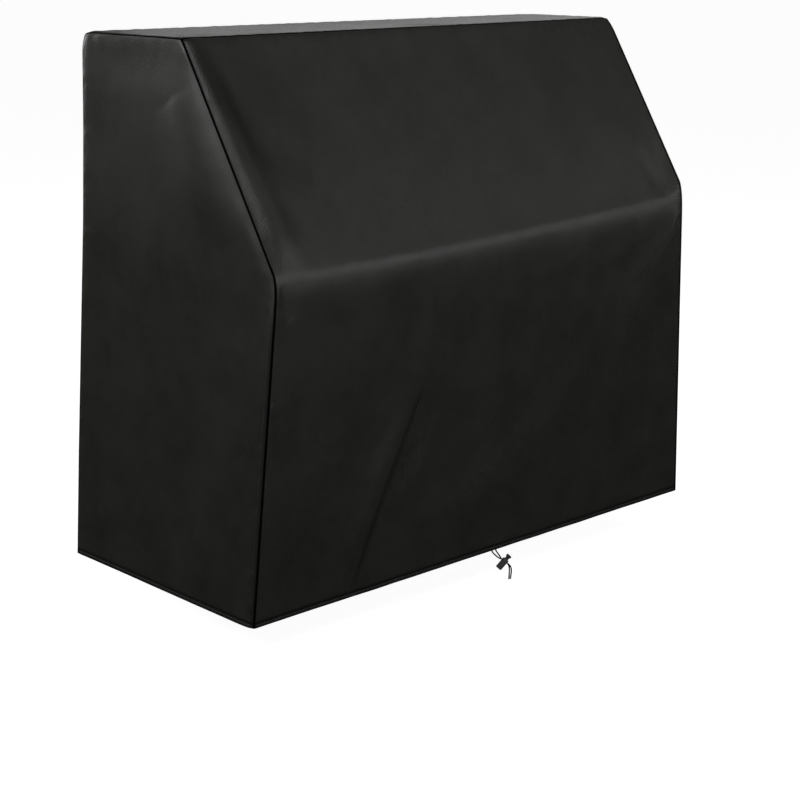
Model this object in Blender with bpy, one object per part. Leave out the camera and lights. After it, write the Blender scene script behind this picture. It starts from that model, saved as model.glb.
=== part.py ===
"""Fitted cover for an upright piano: five sewn cloth panels, a hem drawcord and its sprung cord lock.

Every panel is first laid out on a plain box shape, the "pattern" (x across, y from the back edge towards
the front as negative numbers, z up from the hem). drape() then moves each point to where the hung cloth
lies. The origin of the part is the underside of the top panel, at its centre.
"""
import math
from collections import namedtuple

import bmesh
import bpy
from mathutils import Vector

# ---- The pattern: sizes of the plain box shape, metres ----
WIDTH = 1.530
HEIGHT = 1.215
TOP_DEPTH = 0.301
KNEE_HEIGHT = 0.773
KNEE_DEPTH = 0.584
HEM_DEPTH = 0.572
BACK_HEM_KICK = 0.016
KNEE_RADIUS = 0.030

# ---- Cloth, seams and hem, metres ----
CLOTH = 0.0015
BEND_RADIUS = 0.0019
BEND_STEPS = 2
SEAM_GAP = 0.0003
TURNED_IN = 0.0075
HEM_TALL = 0.010
HEM_THICK = 0.0040
HEM_STEP = 0.002
CORNER_CLEAR = 0.015
CORNER_EASE = 0.0003

# ---- Steps of the panels' grids ----
LOWER_STEPS = 16
KNEE_STEPS = 2
SLOPE_STEPS = 9
ACROSS_STEPS = 27
COARSE_LOWER_STEPS = 3
COARSE_SLOPE_STEPS = 3
COARSE_ACROSS_STEPS = 6
DEPTH_STEPS = 4
NEAR_CORNER = 0.050

# ---- How the hung cloth differs from the pattern at its corners: millimetres ----
Corner = namedtuple("Corner", "side face level dx dy dz")
CORNERS = (
    Corner("left", "back", "hem", -1, 16, 16),
    Corner("left", "back", "knee", 0, 5, 4),
    Corner("left", "back", "top", 0, 0, -2),
    Corner("left", "front", "hem", -5, 9, -11),
    Corner("left", "front", "knee", 2, -28, -28),
    Corner("left", "front", "top", 5, -15, 6),
    Corner("right", "back", "hem", 0, 5, 0),
    Corner("right", "back", "knee", 1, -3, 0),
    Corner("right", "back", "top", 3, -15, -6),
    Corner("right", "front", "hem", 1, -13, -5),
    Corner("right", "front", "knee", 1, 35, 28),
    Corner("right", "front", "top", -1, 15, 2),
)

# ---- Rounding of the four top corners, metres ----
Rounding = namedtuple("Rounding", "side face pull")
ROUNDINGS = (
    Rounding("left", "back", 0.008),
    Rounding("right", "back", 0.008),
    Rounding("right", "front", 0.005),
    Rounding("left", "front", 0.003),
)
ROUNDING_REACH = 0.045

# ---- Back edges draw in between top and hem: (height, share of the full bow) ----
Bow = namedtuple("Bow", "height share")
BACK_BOW = (
    Bow(0.0, 0.0),
    Bow(0.25, 0.10),
    Bow(0.50, 0.50),
    Bow(0.80, 1.0),
    Bow(1.00, 0.80),
    Bow(1.150, 0.25),
    Bow(1.215, 0.0),
)
BOW_IN = 0.003
BOW_FORWARD = 0.004

# ---- Folds of the front panel: each runs through places (x, z) of the pattern, metres ----
Fold = namedtuple("Fold", "name half_width rise route")
FOLDS = (
    Fold(
        "long crease", 0.030, -0.0060,
        ((-0.270, 0.462), (-0.276, 0.432), (-0.350, 0.288), (-0.417, 0.152), (-0.468, 0.022)),
    ),
    Fold("ridge left of it", 0.042, 0.0050, ((-0.330, 0.400), (-0.430, 0.200), (-0.492, 0.050))),
    Fold("ridge right of it", 0.032, 0.0040, ((-0.200, 0.380), (-0.262, 0.270), (-0.360, 0.130))),
    Fold("broad ridge", 0.085, 0.0075, ((0.260, 0.300), (0.060, 0.180), (-0.140, 0.078), (-0.220, 0.045))),
    Fold(
        "ridge from the knee corner", 0.040, 0.0055,
        ((0.690, 0.690), (0.660, 0.640), (0.548, 0.520), (0.467, 0.300), (0.324, 0.126)),
    ),
    Fold("crease under the knee", 0.030, -0.0009, ((0.640, 0.640), (0.438, 0.606), (0.046, 0.616))),
    Fold("short ridge by the hem", 0.030, 0.0022, ((0.690, 0.200), (0.610, 0.110), (0.560, 0.030))),
    Fold(
        "hollow of the slope", 0.050, -0.0070,
        ((-0.735, 1.195), (-0.680, 1.120), (-0.640, 1.020), (-0.540, 0.950)),
    ),
)
FOLD_END = 0.15
FOLD_REACH_IN = (0.050, 0.250)
SEAM_HOLD = (0.015, 0.110)
HEM_HOLD = (0.010, 0.160)
HEM_SHARE = 0.35
TOP_HOLD = (0.010, 0.120)

# ---- Broad sag of each face between its seams, metres ----
TOP_SAG = 0.004
SLOPE_SAG = 0.008
SIDE_SAG = 0.007
BACK_SAG = 0.006
SAG_REACH_IN = 0.150
Drop = namedtuple("Drop", "share fall")
KNEE_DROPS = (
    Drop(0.0, 0.0),
    Drop(0.06, 0.008),
    Drop(0.35, 0.021),
    Drop(0.60, 0.028),
    Drop(0.85, 0.034),
    Drop(1.0, 0.030),
)
KNEE_DROP_REACH = 0.120
KNEE_DROP_HOLD = (0.004, 0.046)

# ---- Drawcord and cord lock, millimetres unless the name says otherwise ----
CORD_DIAMETER_M = 0.0035
CORD_POINT_STEP_M = 0.0045
CURVE_STEPS = 12
CORD_EXIT_X_M = 0.018
LOCK_SIDEWAYS = Vector((0.80, -0.60, 0.0))
LOCK_OUTWARD = Vector((-0.60, -0.80, 0.0))
RoutePoint = namedtuple("RoutePoint", "side up out")
CORD_ROUTES = {
    "drawcord_strand_left": (
        RoutePoint(0.0, -0.4, 0.0),
        RoutePoint(0.2, -4.2, 0.0),
        RoutePoint(4.8, -9.4, 0.6),
        RoutePoint(12.1, -16.0, 1.3),
        RoutePoint(18.2, -20.4, 1.9),
        RoutePoint(23.0, -21.8, 1.95),
        RoutePoint(25.3, -23.7, 1.95),
        RoutePoint(31.4, -28.8, 1.95),
        RoutePoint(37.5, -33.9, 1.95),
        RoutePoint(39.6, -35.7, 1.95),
        RoutePoint(42.2, -40.2, 1.8),
        RoutePoint(43.8, -46.6, 1.4),
        RoutePoint(44.4, -55.6, 1.0),
        RoutePoint(44.2, -66.6, 0.9),
        RoutePoint(44.0, -75.1, 0.9),
    ),
    "drawcord_strand_right": (
        RoutePoint(11.2, -0.4, -8.4),
        RoutePoint(11.3, -4.0, -8.3),
        RoutePoint(14.4, -8.6, -6.4),
        RoutePoint(18.6, -14.4, -3.8),
        RoutePoint(21.6, -19.0, -2.2),
        RoutePoint(23.4, -21.9, -1.95),
        RoutePoint(25.3, -23.7, -1.95),
        RoutePoint(31.4, -28.8, -1.95),
        RoutePoint(37.5, -33.9, -1.95),
        RoutePoint(40.2, -36.0, -2.0),
        RoutePoint(45.0, -40.2, -1.9),
        RoutePoint(48.4, -45.6, -1.5),
        RoutePoint(50.0, -55.0, -1.1),
        RoutePoint(49.1, -65.8, -0.9),
        RoutePoint(48.3, -75.1, -0.9),
    ),
}
LOCK_CENTRE = RoutePoint(31.4, -28.8, 0.0)
LOCK_AXIS = (0.640, 0.768)
LOCK_SIDES = 16
BARREL_DIAMETER = 16.0
BARREL_ABOVE_HOLE = 6.2
BARREL_BELOW_HOLE = 22.8
BARREL_EDGE = 1.2
BARREL_FLOOR = 2.5
BORE_DIAMETER = 11.8
HOLE_ACROSS = 8.4
HOLE_TALL = 4.5
PLUNGER_DIAMETER = 11.0
PLUNGER_BELOW_HOLE = 7.5
NECK_TALL = 7.0
KNOB_DIAMETER = 13.6
KNOB_TALL = 5.6
KNOB_EDGE = 1.4
BUTTON_TRAVEL = 5.0
CORD_PLAY = 0.4

# ---- Materials: colour (linear), roughness, metallic ----
FINISHES = {
    "cloth": ((0.013, 0.013, 0.0125), 0.62, 0.0),
    "cord": ((0.012, 0.012, 0.012), 0.75, 0.0),
    "lock": ((0.016, 0.016, 0.018), 0.38, 0.0),
    "button": ((0.020, 0.020, 0.022), 0.35, 0.0),
}

MM = 0.001
SHARP_ANGLE = math.radians(40.0)
SIDE_SEAM_HALF_ANGLE = math.radians(45.0)
Row = namedtuple("Row", "left right left_in right_in inward")


def remove_everything():
    for thing in list(bpy.data.objects):
        bpy.data.objects.remove(thing, do_unlink=True)


def smooth(low, high, value):
    """0 below low, 1 above high, and an even curve between."""
    share = min(1.0, max(0.0, (value - low) / (high - low)))
    return share * share * (3.0 - 2.0 * share)


def along(table, value):
    """Straight-line reading of a table of (place, number) rows."""
    for (place0, number0), (place1, number1) in zip(table, table[1:]):
        if value <= place1:
            share = max(0.0, (value - place0) / (place1 - place0))
            return number0 + (number1 - number0) * share
    return table[-1][1]


# ---- The draped shape ----

def front_y(z):
    return -along(((0.0, HEM_DEPTH), (KNEE_HEIGHT, KNEE_DEPTH), (HEIGHT, TOP_DEPTH)), z)


def back_y(z):
    return along(((0.0, BACK_HEM_KICK), (HEIGHT, 0.0)), z)


def corner_column(side, face, z):
    """How far one upright corner of the box stands from the pattern at height z."""
    heights = {"hem": 0.0, "knee": KNEE_HEIGHT, "top": HEIGHT}
    rows = [c for c in CORNERS if c.side == side and c.face == face]
    reads = [
        along([(heights[c.level], getattr(c, part)) for c in rows], z)
        for part in ("dx", "dy", "dz")
    ]
    return Vector(reads) * MM


def corner_shift(u, v, z):
    left = corner_column("left", "back", z).lerp(corner_column("left", "front", z), v)
    right = corner_column("right", "back", z).lerp(corner_column("right", "front", z), v)
    return left.lerp(right, u)


def corner_rounding(point):
    """Pull towards the inside of the box close to each top corner."""
    total = Vector((0.0, 0.0, 0.0))
    for row in ROUNDINGS:
        sign = -1.0 if row.side == "left" else 1.0
        corner_y = 0.0 if row.face == "back" else -TOP_DEPTH
        corner = Vector((sign * WIDTH / 2, corner_y, HEIGHT))
        near = 1.0 - (point - corner).length / ROUNDING_REACH
        if near > 0.0:
            towards = Vector((-sign, -1.0 if row.face == "back" else 1.0, -1.0)).normalized()
            total += towards * row.pull * near * near
    return total


def fold_height(x, z, fold):
    """Height of one soft ridge or valley at (x, z): it follows its route and fades at both ends."""
    here = Vector((x, z))
    before = 0.0
    nearest, place = math.inf, 0.0
    for start, end in zip(fold.route, fold.route[1:]):
        run = Vector(end) - Vector(start)
        share = min(1.0, max(0.0, (here - Vector(start)).dot(run) / run.length_squared))
        away = (here - Vector(start) - run * share).length
        if away < nearest:
            nearest, place = away, before + run.length * share
        before += run.length
    fade = FOLD_END + (1.0 - FOLD_END) * math.sqrt(hump(place / before))
    return fold.rise * fade * math.exp(-((nearest / fold.half_width) ** 2))


def fold_rise(x, z):
    """How far the front cloth stands out of its plain surface at (x, z)."""
    rise = sum(fold_height(x, z, fold) for fold in FOLDS)
    from_seam = WIDTH / 2 - abs(x)
    held = smooth(*SEAM_HOLD, from_seam) * smooth(*TOP_HOLD, HEIGHT - z)
    at_hem = HEM_SHARE + (1.0 - HEM_SHARE) * smooth(*HEM_HOLD, z)
    return rise * held * at_hem


def hump(share):
    """0 at both ends of the share's range, 1 in its middle."""
    return math.sin(math.pi * min(1.0, max(0.0, share)))


def drape(point):
    """Where a point of the pattern lies on the hung cover."""
    x, y, z = point
    u = x / WIDTH + 0.5
    front = front_y(z)
    back = back_y(z)
    v = (back - y) / (back - front)
    z_share = min(1.0, max(0.0, z / HEIGHT))
    moved = Vector(point) + corner_shift(u, v, z) + corner_rounding(Vector(point))

    bow = along(BACK_BOW, z)
    moved.x += BOW_IN * bow * max(0.0, 1.0 - v) ** 2 * (1.0 - 2.0 * u)
    moved.y -= BOW_FORWARD * bow * max(0.0, 1.0 - v) ** 2

    behind = max(0.0, y - front)
    near_front = 1.0 - smooth(*FOLD_REACH_IN, behind)
    if near_front > 0.0:
        slope_share = max(0.0, (z - KNEE_HEIGHT) / (HEIGHT - KNEE_HEIGHT))
        out = fold_rise(x, z) - SLOPE_SAG * hump(slope_share) * hump(u)
        steep = smooth(KNEE_HEIGHT - KNEE_RADIUS, KNEE_HEIGHT + KNEE_RADIUS, z)
        lean = math.atan2(KNEE_DEPTH - TOP_DEPTH, HEIGHT - KNEE_HEIGHT) * steep
        moved.y -= out * near_front * math.cos(lean)
        moved.z += out * near_front * math.sin(lean)
        knee_near = math.exp(-(((z - KNEE_HEIGHT) / KNEE_DROP_REACH) ** 2))
        drop = along(KNEE_DROPS, u) * smooth(*KNEE_DROP_HOLD, WIDTH / 2 - x)
        moved.z -= drop * knee_near * near_front

    near_top = 1.0 - smooth(0.0, SAG_REACH_IN, HEIGHT - z)
    moved.z -= TOP_SAG * hump(u) * hump(v) * near_top
    near_back = 1.0 - smooth(0.0, SAG_REACH_IN, back - y)
    moved.y -= BACK_SAG * hump(u) * hump(z_share) * near_back
    near_left = 1.0 - smooth(0.0, SAG_REACH_IN, x + WIDTH / 2)
    near_right = 1.0 - smooth(0.0, SAG_REACH_IN, WIDTH / 2 - x)
    moved.x += SIDE_SAG * hump(v) * hump(z_share) * (near_left - near_right)
    return moved


ORIGIN = drape((0.0, -TOP_DEPTH / 2, HEIGHT - CLOTH))


# ---- Cross-section of a seam ----

def seam_profile(half_angle):
    """Outer and inner faces across a seam, from flat cloth to the end of the turned-in edge.

    Each point is (inset, depth): how far it lies in from the seam line, in the plane of the panel, and how
    deep below the panel. The turned-in edge lies along the plane that halves the angle between two panels.
    """
    inset = (BEND_RADIUS + SEAM_GAP / 2 + BEND_RADIUS * math.cos(half_angle)) / math.sin(half_angle)
    faces = []
    for radius in (BEND_RADIUS, BEND_RADIUS - CLOTH):
        turns = [(math.pi - half_angle) * k / BEND_STEPS for k in range(BEND_STEPS + 1)]
        faces.append([(inset - radius * math.sin(t), BEND_RADIUS - radius * math.cos(t)) for t in turns])
    drop = TURNED_IN - faces[0][-1][1]
    for face in faces:
        last_inset, last_depth = face[-1]
        face.append((last_inset + drop / math.tan(half_angle), last_depth + drop))
    return faces


def mitre(direction0, inset0, direction1, inset1):
    """In-plane move that lies inset0 in from one edge and inset1 in from the other."""
    cosine = direction0.dot(direction1)
    weight0 = (inset0 - inset1 * cosine) / (1.0 - cosine * cosine)
    weight1 = (inset1 - inset0 * cosine) / (1.0 - cosine * cosine)
    return direction0 * weight0 + direction1 * weight1


def seam_point(base, edges, inward, ring, face):
    """A point near the rim: edges is one or two (direction in from the edge, seam profile) pairs."""
    depth = sum(profile[face][ring][1] for _, profile in edges) / len(edges)
    if len(edges) == 1:
        direction, profile = edges[0]
        return base + direction * profile[face][ring][0] + inward * depth
    (direction0, profile0), (direction1, profile1) = edges
    move = mitre(
        direction0,
        profile0[face][ring][0] + CORNER_EASE,
        direction1,
        profile1[face][ring][0] + CORNER_EASE,
    )
    return base + move + inward * depth


def build_panel(name, rows, shares, top_in, top_half, bottom_in=None, bottom_half=None):
    """One cloth panel as a closed thin solid.

    rows run from the hem (or the lower edge) to the top edge. shares are the places across each row, from 0
    to 1. The side edges and the top edge turn in at seams. The bottom edge does too if bottom_half is
    given, and otherwise it is a hem.
    """
    side = seam_profile(SIDE_SEAM_HALF_ANGLE)
    top = seam_profile(top_half)
    bottom = seam_profile(bottom_half) if bottom_half else None
    last = len(rows) - 1
    width_steps = len(shares) - 1
    rings = BEND_STEPS + 1

    def rim_edges(row_index, side_direction):
        edges = [(side_direction, side)]
        if row_index == last:
            edges.append((top_in, top))
        if row_index == 0 and bottom:
            edges.append((bottom_in, bottom))
        return edges

    flat = []
    for j, row in enumerate(rows):
        left = seam_point(row.left, rim_edges(j, row.left_in), row.inward, 0, 0)
        right = seam_point(row.right, rim_edges(j, row.right_in), row.inward, 0, 0)
        flat.append([left.lerp(right, share) for share in shares])

    def station(i, j):
        """The seam line's point next to grid point (i, j), with the edges that meet there."""
        row = rows[j]
        if i == 0:
            return row.left, rim_edges(j, row.left_in), row.inward
        if i == width_steps:
            return row.right, rim_edges(j, row.right_in), row.inward
        direction, profile = (top_in, top) if j == last else (bottom_in, bottom)
        return flat[j][i] - direction * profile[0][0][0], [(direction, profile)], row.inward

    rim = [(0, j) for j in range(last)]
    rim += [(i, last) for i in range(width_steps)]
    rim += [(width_steps, j) for j in range(last, 0, -1)]
    rim += [(i, 0) for i in range(width_steps, 0, -1)] if bottom else [(width_steps, 0)]

    mesh = bmesh.new()
    verts = {}

    def thickness(i, j):
        inner_column = 0 < i < width_steps
        return HEM_THICK if inner_column and j < 2 and not bottom else CLOTH

    for j, row in enumerate(rows):
        for i in range(width_steps + 1):
            point = flat[j][i]
            verts["grid", 0, i, j] = mesh.verts.new(drape(point) - ORIGIN)
            inner = point + row.inward * thickness(i, j)
            verts["grid", 1, i, j] = mesh.verts.new(drape(inner) - ORIGIN)
    for i, j in rim:
        base, edges, inward = station(i, j)
        for face in (0, 1):
            verts["ring", face, i, j, 0] = verts["grid", face, i, j]
            for ring in range(1, rings + 1):
                point = seam_point(base, edges, inward, ring, face)
                verts["ring", face, i, j, ring] = mesh.verts.new(drape(point) - ORIGIN)

    for face in (0, 1):
        for j in range(last):
            for i in range(width_steps):
                corners = ((i, j), (i + 1, j), (i + 1, j + 1), (i, j + 1))
                mesh.faces.new([verts["grid", face, a, b] for a, b in corners])
    steps = list(zip(rim, rim[1:])) + ([(rim[-1], rim[0])] if bottom else [])
    for start, end in steps:
        for face in (0, 1):
            for ring in range(rings):
                mesh.faces.new(
                    [
                        verts["ring", face, *start, ring],
                        verts["ring", face, *end, ring],
                        verts["ring", face, *end, ring + 1],
                        verts["ring", face, *start, ring + 1],
                    ]
                )
        around = ((0, start), (0, end), (1, end), (1, start))
        mesh.faces.new([verts["ring", face, *place, rings] for face, place in around])
    if not bottom:
        close_hem(mesh, verts, width_steps, rings)
    bmesh.ops.recalc_face_normals(mesh, faces=mesh.faces)
    return finish_mesh(name, mesh, "cloth")


def close_hem(mesh, verts, width_steps, rings):
    """Faces along the lower edge, between the outer and inner sides of the cloth."""
    ends = [("ring", 0, 0, ring) for ring in range(rings, 0, -1)]
    ends += [("grid", i, 0) for i in range(width_steps + 1)]
    ends += [("ring", width_steps, 0, ring) for ring in range(1, rings + 1)]

    def pick(end, face):
        kind, *place = end
        return verts[(kind, face, *place)]

    for start, end in zip(ends, ends[1:]):
        mesh.faces.new([pick(start, 0), pick(end, 0), pick(end, 1), pick(start, 1)])


def finish_mesh(name, mesh, finish):
    data = bpy.data.meshes.new(name)
    mesh.to_mesh(data)
    mesh.free()
    thing = bpy.data.objects.new(name, data)
    bpy.context.scene.collection.objects.link(thing)
    data.shade_smooth()
    data.set_sharp_from_angle(angle=SHARP_ANGLE)
    data.materials.append(make_material(name, finish))
    return thing


def make_material(name, finish):
    colour, roughness, metallic = FINISHES[finish]
    material = bpy.data.materials.new(name)
    material.use_nodes = True
    shader = material.node_tree.nodes["Principled BSDF"]
    shader.inputs["Base Color"].default_value = (*colour, 1.0)
    shader.inputs["Roughness"].default_value = roughness
    shader.inputs["Metallic"].default_value = metallic
    return material


# ---- Rows of the panels ----

def front_path_lengths():
    lower = math.hypot(KNEE_DEPTH - HEM_DEPTH, KNEE_HEIGHT)
    slope = math.hypot(KNEE_DEPTH - TOP_DEPTH, HEIGHT - KNEE_HEIGHT)
    return lower, slope


def front_path(place):
    """Point and inward direction on the front profile, place metres up from the hem along the cloth."""
    lower, slope = front_path_lengths()
    lower_up = Vector((0.0, HEM_DEPTH - KNEE_DEPTH, KNEE_HEIGHT)) / lower
    slope_up = Vector((0.0, KNEE_DEPTH - TOP_DEPTH, HEIGHT - KNEE_HEIGHT)) / slope
    turn = lower_up.angle(slope_up)
    cut = KNEE_RADIUS * math.tan(turn / 2)
    knee = Vector((0.0, -KNEE_DEPTH, KNEE_HEIGHT))
    before = place - (lower - cut)
    if before <= 0.0:
        return knee - lower_up * (lower - place), turned_in(lower_up)
    if place >= lower + cut:
        return knee + slope_up * (place - lower), turned_in(slope_up)
    angle = turn * before / (2 * cut)
    start = knee - lower_up * cut
    step_up = lower_up * math.sin(angle) + turned_in(lower_up) * (1.0 - math.cos(angle))
    direction = lower_up * math.cos(angle) + turned_in(lower_up) * math.sin(angle)
    return start + step_up * KNEE_RADIUS, turned_in(direction)


def turned_in(up):
    """The direction into the box, square to an upward direction on the front."""
    return Vector((0.0, up.z, -up.y))


def spread(start, end, steps):
    return [start + (end - start) * k / steps for k in range(1, steps + 1)]


def front_places(lower_steps, slope_steps):
    """Places up the front profile where the panels have rows, close together at hem, knee and top."""
    lower, slope = front_path_lengths()
    turn = Vector((HEM_DEPTH - KNEE_DEPTH, KNEE_HEIGHT)).angle(
        Vector((KNEE_DEPTH - TOP_DEPTH, HEIGHT - KNEE_HEIGHT))
    )
    cut = KNEE_RADIUS * math.tan(turn / 2)
    whole = lower + slope
    places = [0.0, HEM_TALL, HEM_TALL + HEM_STEP]
    places += spread(places[-1], lower - cut, lower_steps)
    places += spread(lower - cut, lower + cut, KNEE_STEPS)
    places += spread(lower + cut, whole - NEAR_CORNER, slope_steps)
    places += [whole - CORNER_CLEAR, whole]
    return places


def across_shares(steps, length):
    """Places across a row, from 0 to 1, with rows of points near both corners."""
    near = [CORNER_CLEAR / length, NEAR_CORNER / length]
    return [0.0] + near + spread(near[1], 1.0 - near[1], steps) + [1.0 - near[0], 1.0]


def back_point(z):
    return Vector((0.0, back_y(z), z))


def shifted(point, x):
    return Vector((x, point.y, point.z))


def front_rows(places):
    rows = []
    for place in places:
        point, inward = front_path(place)
        left = shifted(point, -WIDTH / 2)
        right = shifted(point, WIDTH / 2)
        rows.append(Row(left, right, Vector((1, 0, 0)), Vector((-1, 0, 0)), inward))
    return rows


def back_direction_in():
    return Vector((0.0, -HEIGHT, -BACK_HEM_KICK)).normalized()


def back_rows():
    rows = []
    for place in front_places(COARSE_LOWER_STEPS, COARSE_SLOPE_STEPS):
        z = front_path(place)[0].z
        left = shifted(back_point(z), -WIDTH / 2)
        right = shifted(back_point(z), WIDTH / 2)
        rows.append(Row(left, right, Vector((1, 0, 0)), Vector((-1, 0, 0)), back_direction_in()))
    return rows


def side_rows(sign):
    """Rows of a side panel, from its back edge to its front edge."""
    rows = []
    for place in front_places(COARSE_LOWER_STEPS, COARSE_SLOPE_STEPS):
        front, inward = front_path(place)
        back = back_point(front.z)
        x = sign * WIDTH / 2
        rows.append(
            Row(shifted(back, x), shifted(front, x), back_direction_in(), inward, Vector((-sign, 0, 0)))
        )
    return rows


def top_rows():
    """Rows of the top panel, from its back edge to its front edge."""
    shares = across_shares(DEPTH_STEPS, TOP_DEPTH)
    rows = []
    for share in shares:
        y = -TOP_DEPTH * share
        left = Vector((-WIDTH / 2, y, HEIGHT))
        right = Vector((WIDTH / 2, y, HEIGHT))
        rows.append(Row(left, right, Vector((1, 0, 0)), Vector((-1, 0, 0)), Vector((0, 0, -1))))
    return rows


def make_cover():
    slope_lean = math.atan2(KNEE_DEPTH - TOP_DEPTH, HEIGHT - KNEE_HEIGHT)
    back_lean = math.atan2(BACK_HEM_KICK, HEIGHT)
    front_half = (math.pi / 2 + slope_lean) / 2
    back_half = (math.pi / 2 + back_lean) / 2
    down_slope = Vector((0.0, -math.sin(slope_lean), -math.cos(slope_lean)))
    down_back = Vector((0.0, math.sin(back_lean), -math.cos(back_lean)))
    down = Vector((0.0, 0.0, -1.0))

    fine_rows = front_rows(front_places(LOWER_STEPS, SLOPE_STEPS))
    fine_shares = across_shares(ACROSS_STEPS, WIDTH)
    coarse_shares = across_shares(COARSE_ACROSS_STEPS, WIDTH)
    side_shares = across_shares(DEPTH_STEPS, TOP_DEPTH)
    build_panel("front_panel", fine_rows, fine_shares, down_slope, front_half)
    build_panel("back_panel", back_rows(), coarse_shares, down_back, back_half)
    build_panel("left_side_panel", side_rows(-1), side_shares, down, SIDE_SEAM_HALF_ANGLE)
    build_panel("right_side_panel", side_rows(1), side_shares, down, SIDE_SEAM_HALF_ANGLE)
    backward = Vector((0.0, 1.0, 0.0))
    forward = Vector((0.0, -1.0, 0.0))
    build_panel("top_panel", top_rows(), coarse_shares, backward, front_half, forward, back_half)


# ---- Drawcord and cord lock ----

def hem_exit():
    """Middle of the hem's lower face where the left strand comes out."""
    point, inward = front_path(0.0)
    return drape(shifted(point, CORD_EXIT_X_M) + inward * HEM_THICK / 2) - ORIGIN


def lock_place(side, up, out):
    """A point of the lock and cords, millimetres from where the left strand leaves the hem."""
    offset = LOCK_SIDEWAYS * side + Vector((0.0, 0.0, up)) + LOCK_OUTWARD * out
    return hem_exit() + offset * MM


def through(points, step):
    """Evenly spaced points on a smooth curve through the given points."""
    fine = []
    padded = [points[0] * 2 - points[1], *points, points[-1] * 2 - points[-2]]
    for before, start, end, after in zip(padded, padded[1:], padded[2:], padded[3:]):
        for k in range(CURVE_STEPS):
            t = k / CURVE_STEPS
            fine.append(
                0.5
                * (
                    2 * start
                    + (end - before) * t
                    + (2 * before - 5 * start + 4 * end - after) * t ** 2
                    + (3 * start - before - 3 * end + after) * t ** 3
                )
            )
    fine.append(points[-1])
    lengths = [0.0]
    for start, end in zip(fine, fine[1:]):
        lengths.append(lengths[-1] + (end - start).length)
    count = max(2, round(lengths[-1] / step))
    spaced = []
    at = 0
    for k in range(count + 1):
        goal = lengths[-1] * k / count
        while at < len(lengths) - 2 and lengths[at + 1] < goal:
            at += 1
        share = (goal - lengths[at]) / (lengths[at + 1] - lengths[at])
        spaced.append(fine[at].lerp(fine[at + 1], share))
    return spaced


def make_strand(name, route):
    points = through([lock_place(*row) for row in route], CORD_POINT_STEP_M)
    curve = bpy.data.curves.new(name, "CURVE")
    curve.dimensions = "3D"
    curve.bevel_depth = CORD_DIAMETER_M / 2
    curve.bevel_resolution = 2
    curve.use_fill_caps = True
    spline = curve.splines.new("POLY")
    spline.points.add(len(points) - 1)
    for slot, point in zip(spline.points, points):
        slot.co = (*point, 1.0)
    strand = bpy.data.objects.new(name, curve)
    bpy.context.scene.collection.objects.link(strand)
    curve.materials.append(make_material(name, "cord"))
    return strand


def lock_axes():
    """The lock's axis, the way its cords run, and the way the two cords lie side by side."""
    axis = LOCK_SIDEWAYS * LOCK_AXIS[0] + Vector((0.0, 0.0, LOCK_AXIS[1]))
    return axis.normalized(), LOCK_OUTWARD.cross(axis).normalized(), LOCK_OUTWARD.normalized()


def turned_solid(outline):
    """Closed solid of revolution around the lock's axis; outline is (radius, place) in millimetres."""
    axis, across, beside = lock_axes()
    centre = lock_place(*LOCK_CENTRE)
    mesh = bmesh.new()
    rings = []
    for radius, place in outline:
        middle = centre + axis * place * MM
        ring = []
        for k in range(LOCK_SIDES):
            angle = 2 * math.pi * (k + 0.5) / LOCK_SIDES
            spoke = across * math.cos(angle) + beside * math.sin(angle)
            ring.append(mesh.verts.new(middle + spoke * radius * MM))
        rings.append(ring)
    for low, high in zip(rings, rings[1:]):
        for k in range(LOCK_SIDES):
            after = (k + 1) % LOCK_SIDES
            mesh.faces.new([low[k], low[after], high[after], high[k]])
    mesh.faces.new(rings[0])
    mesh.faces.new(rings[-1])
    bmesh.ops.recalc_face_normals(mesh, faces=mesh.faces)
    return mesh


def hole_cutter(name, low, high, width):
    """Box that cuts the cords' way through the lock, from low to high along the axis."""
    axis, across, beside = lock_axes()
    centre = lock_place(*LOCK_CENTRE)
    mesh = bmesh.new()
    for a in (low, high):
        for b in (-BARREL_DIAMETER, BARREL_DIAMETER):
            for c in (-width / 2, width / 2):
                mesh.verts.new(centre + (axis * a + across * b + beside * c) * MM)
    bmesh.ops.convex_hull(mesh, input=list(mesh.verts))
    bmesh.ops.recalc_face_normals(mesh, faces=mesh.faces)
    data = bpy.data.meshes.new(name)
    mesh.to_mesh(data)
    mesh.free()
    cutter = bpy.data.objects.new(name, data)
    bpy.context.scene.collection.objects.link(cutter)
    cutter.hide_render = True
    cutter.display_type = "WIRE"
    return cutter


def cut(thing, cutter):
    boolean = thing.modifiers.new("hole", "BOOLEAN")
    boolean.operation = "DIFFERENCE"
    boolean.solver = "EXACT"
    boolean.object = cutter


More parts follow.
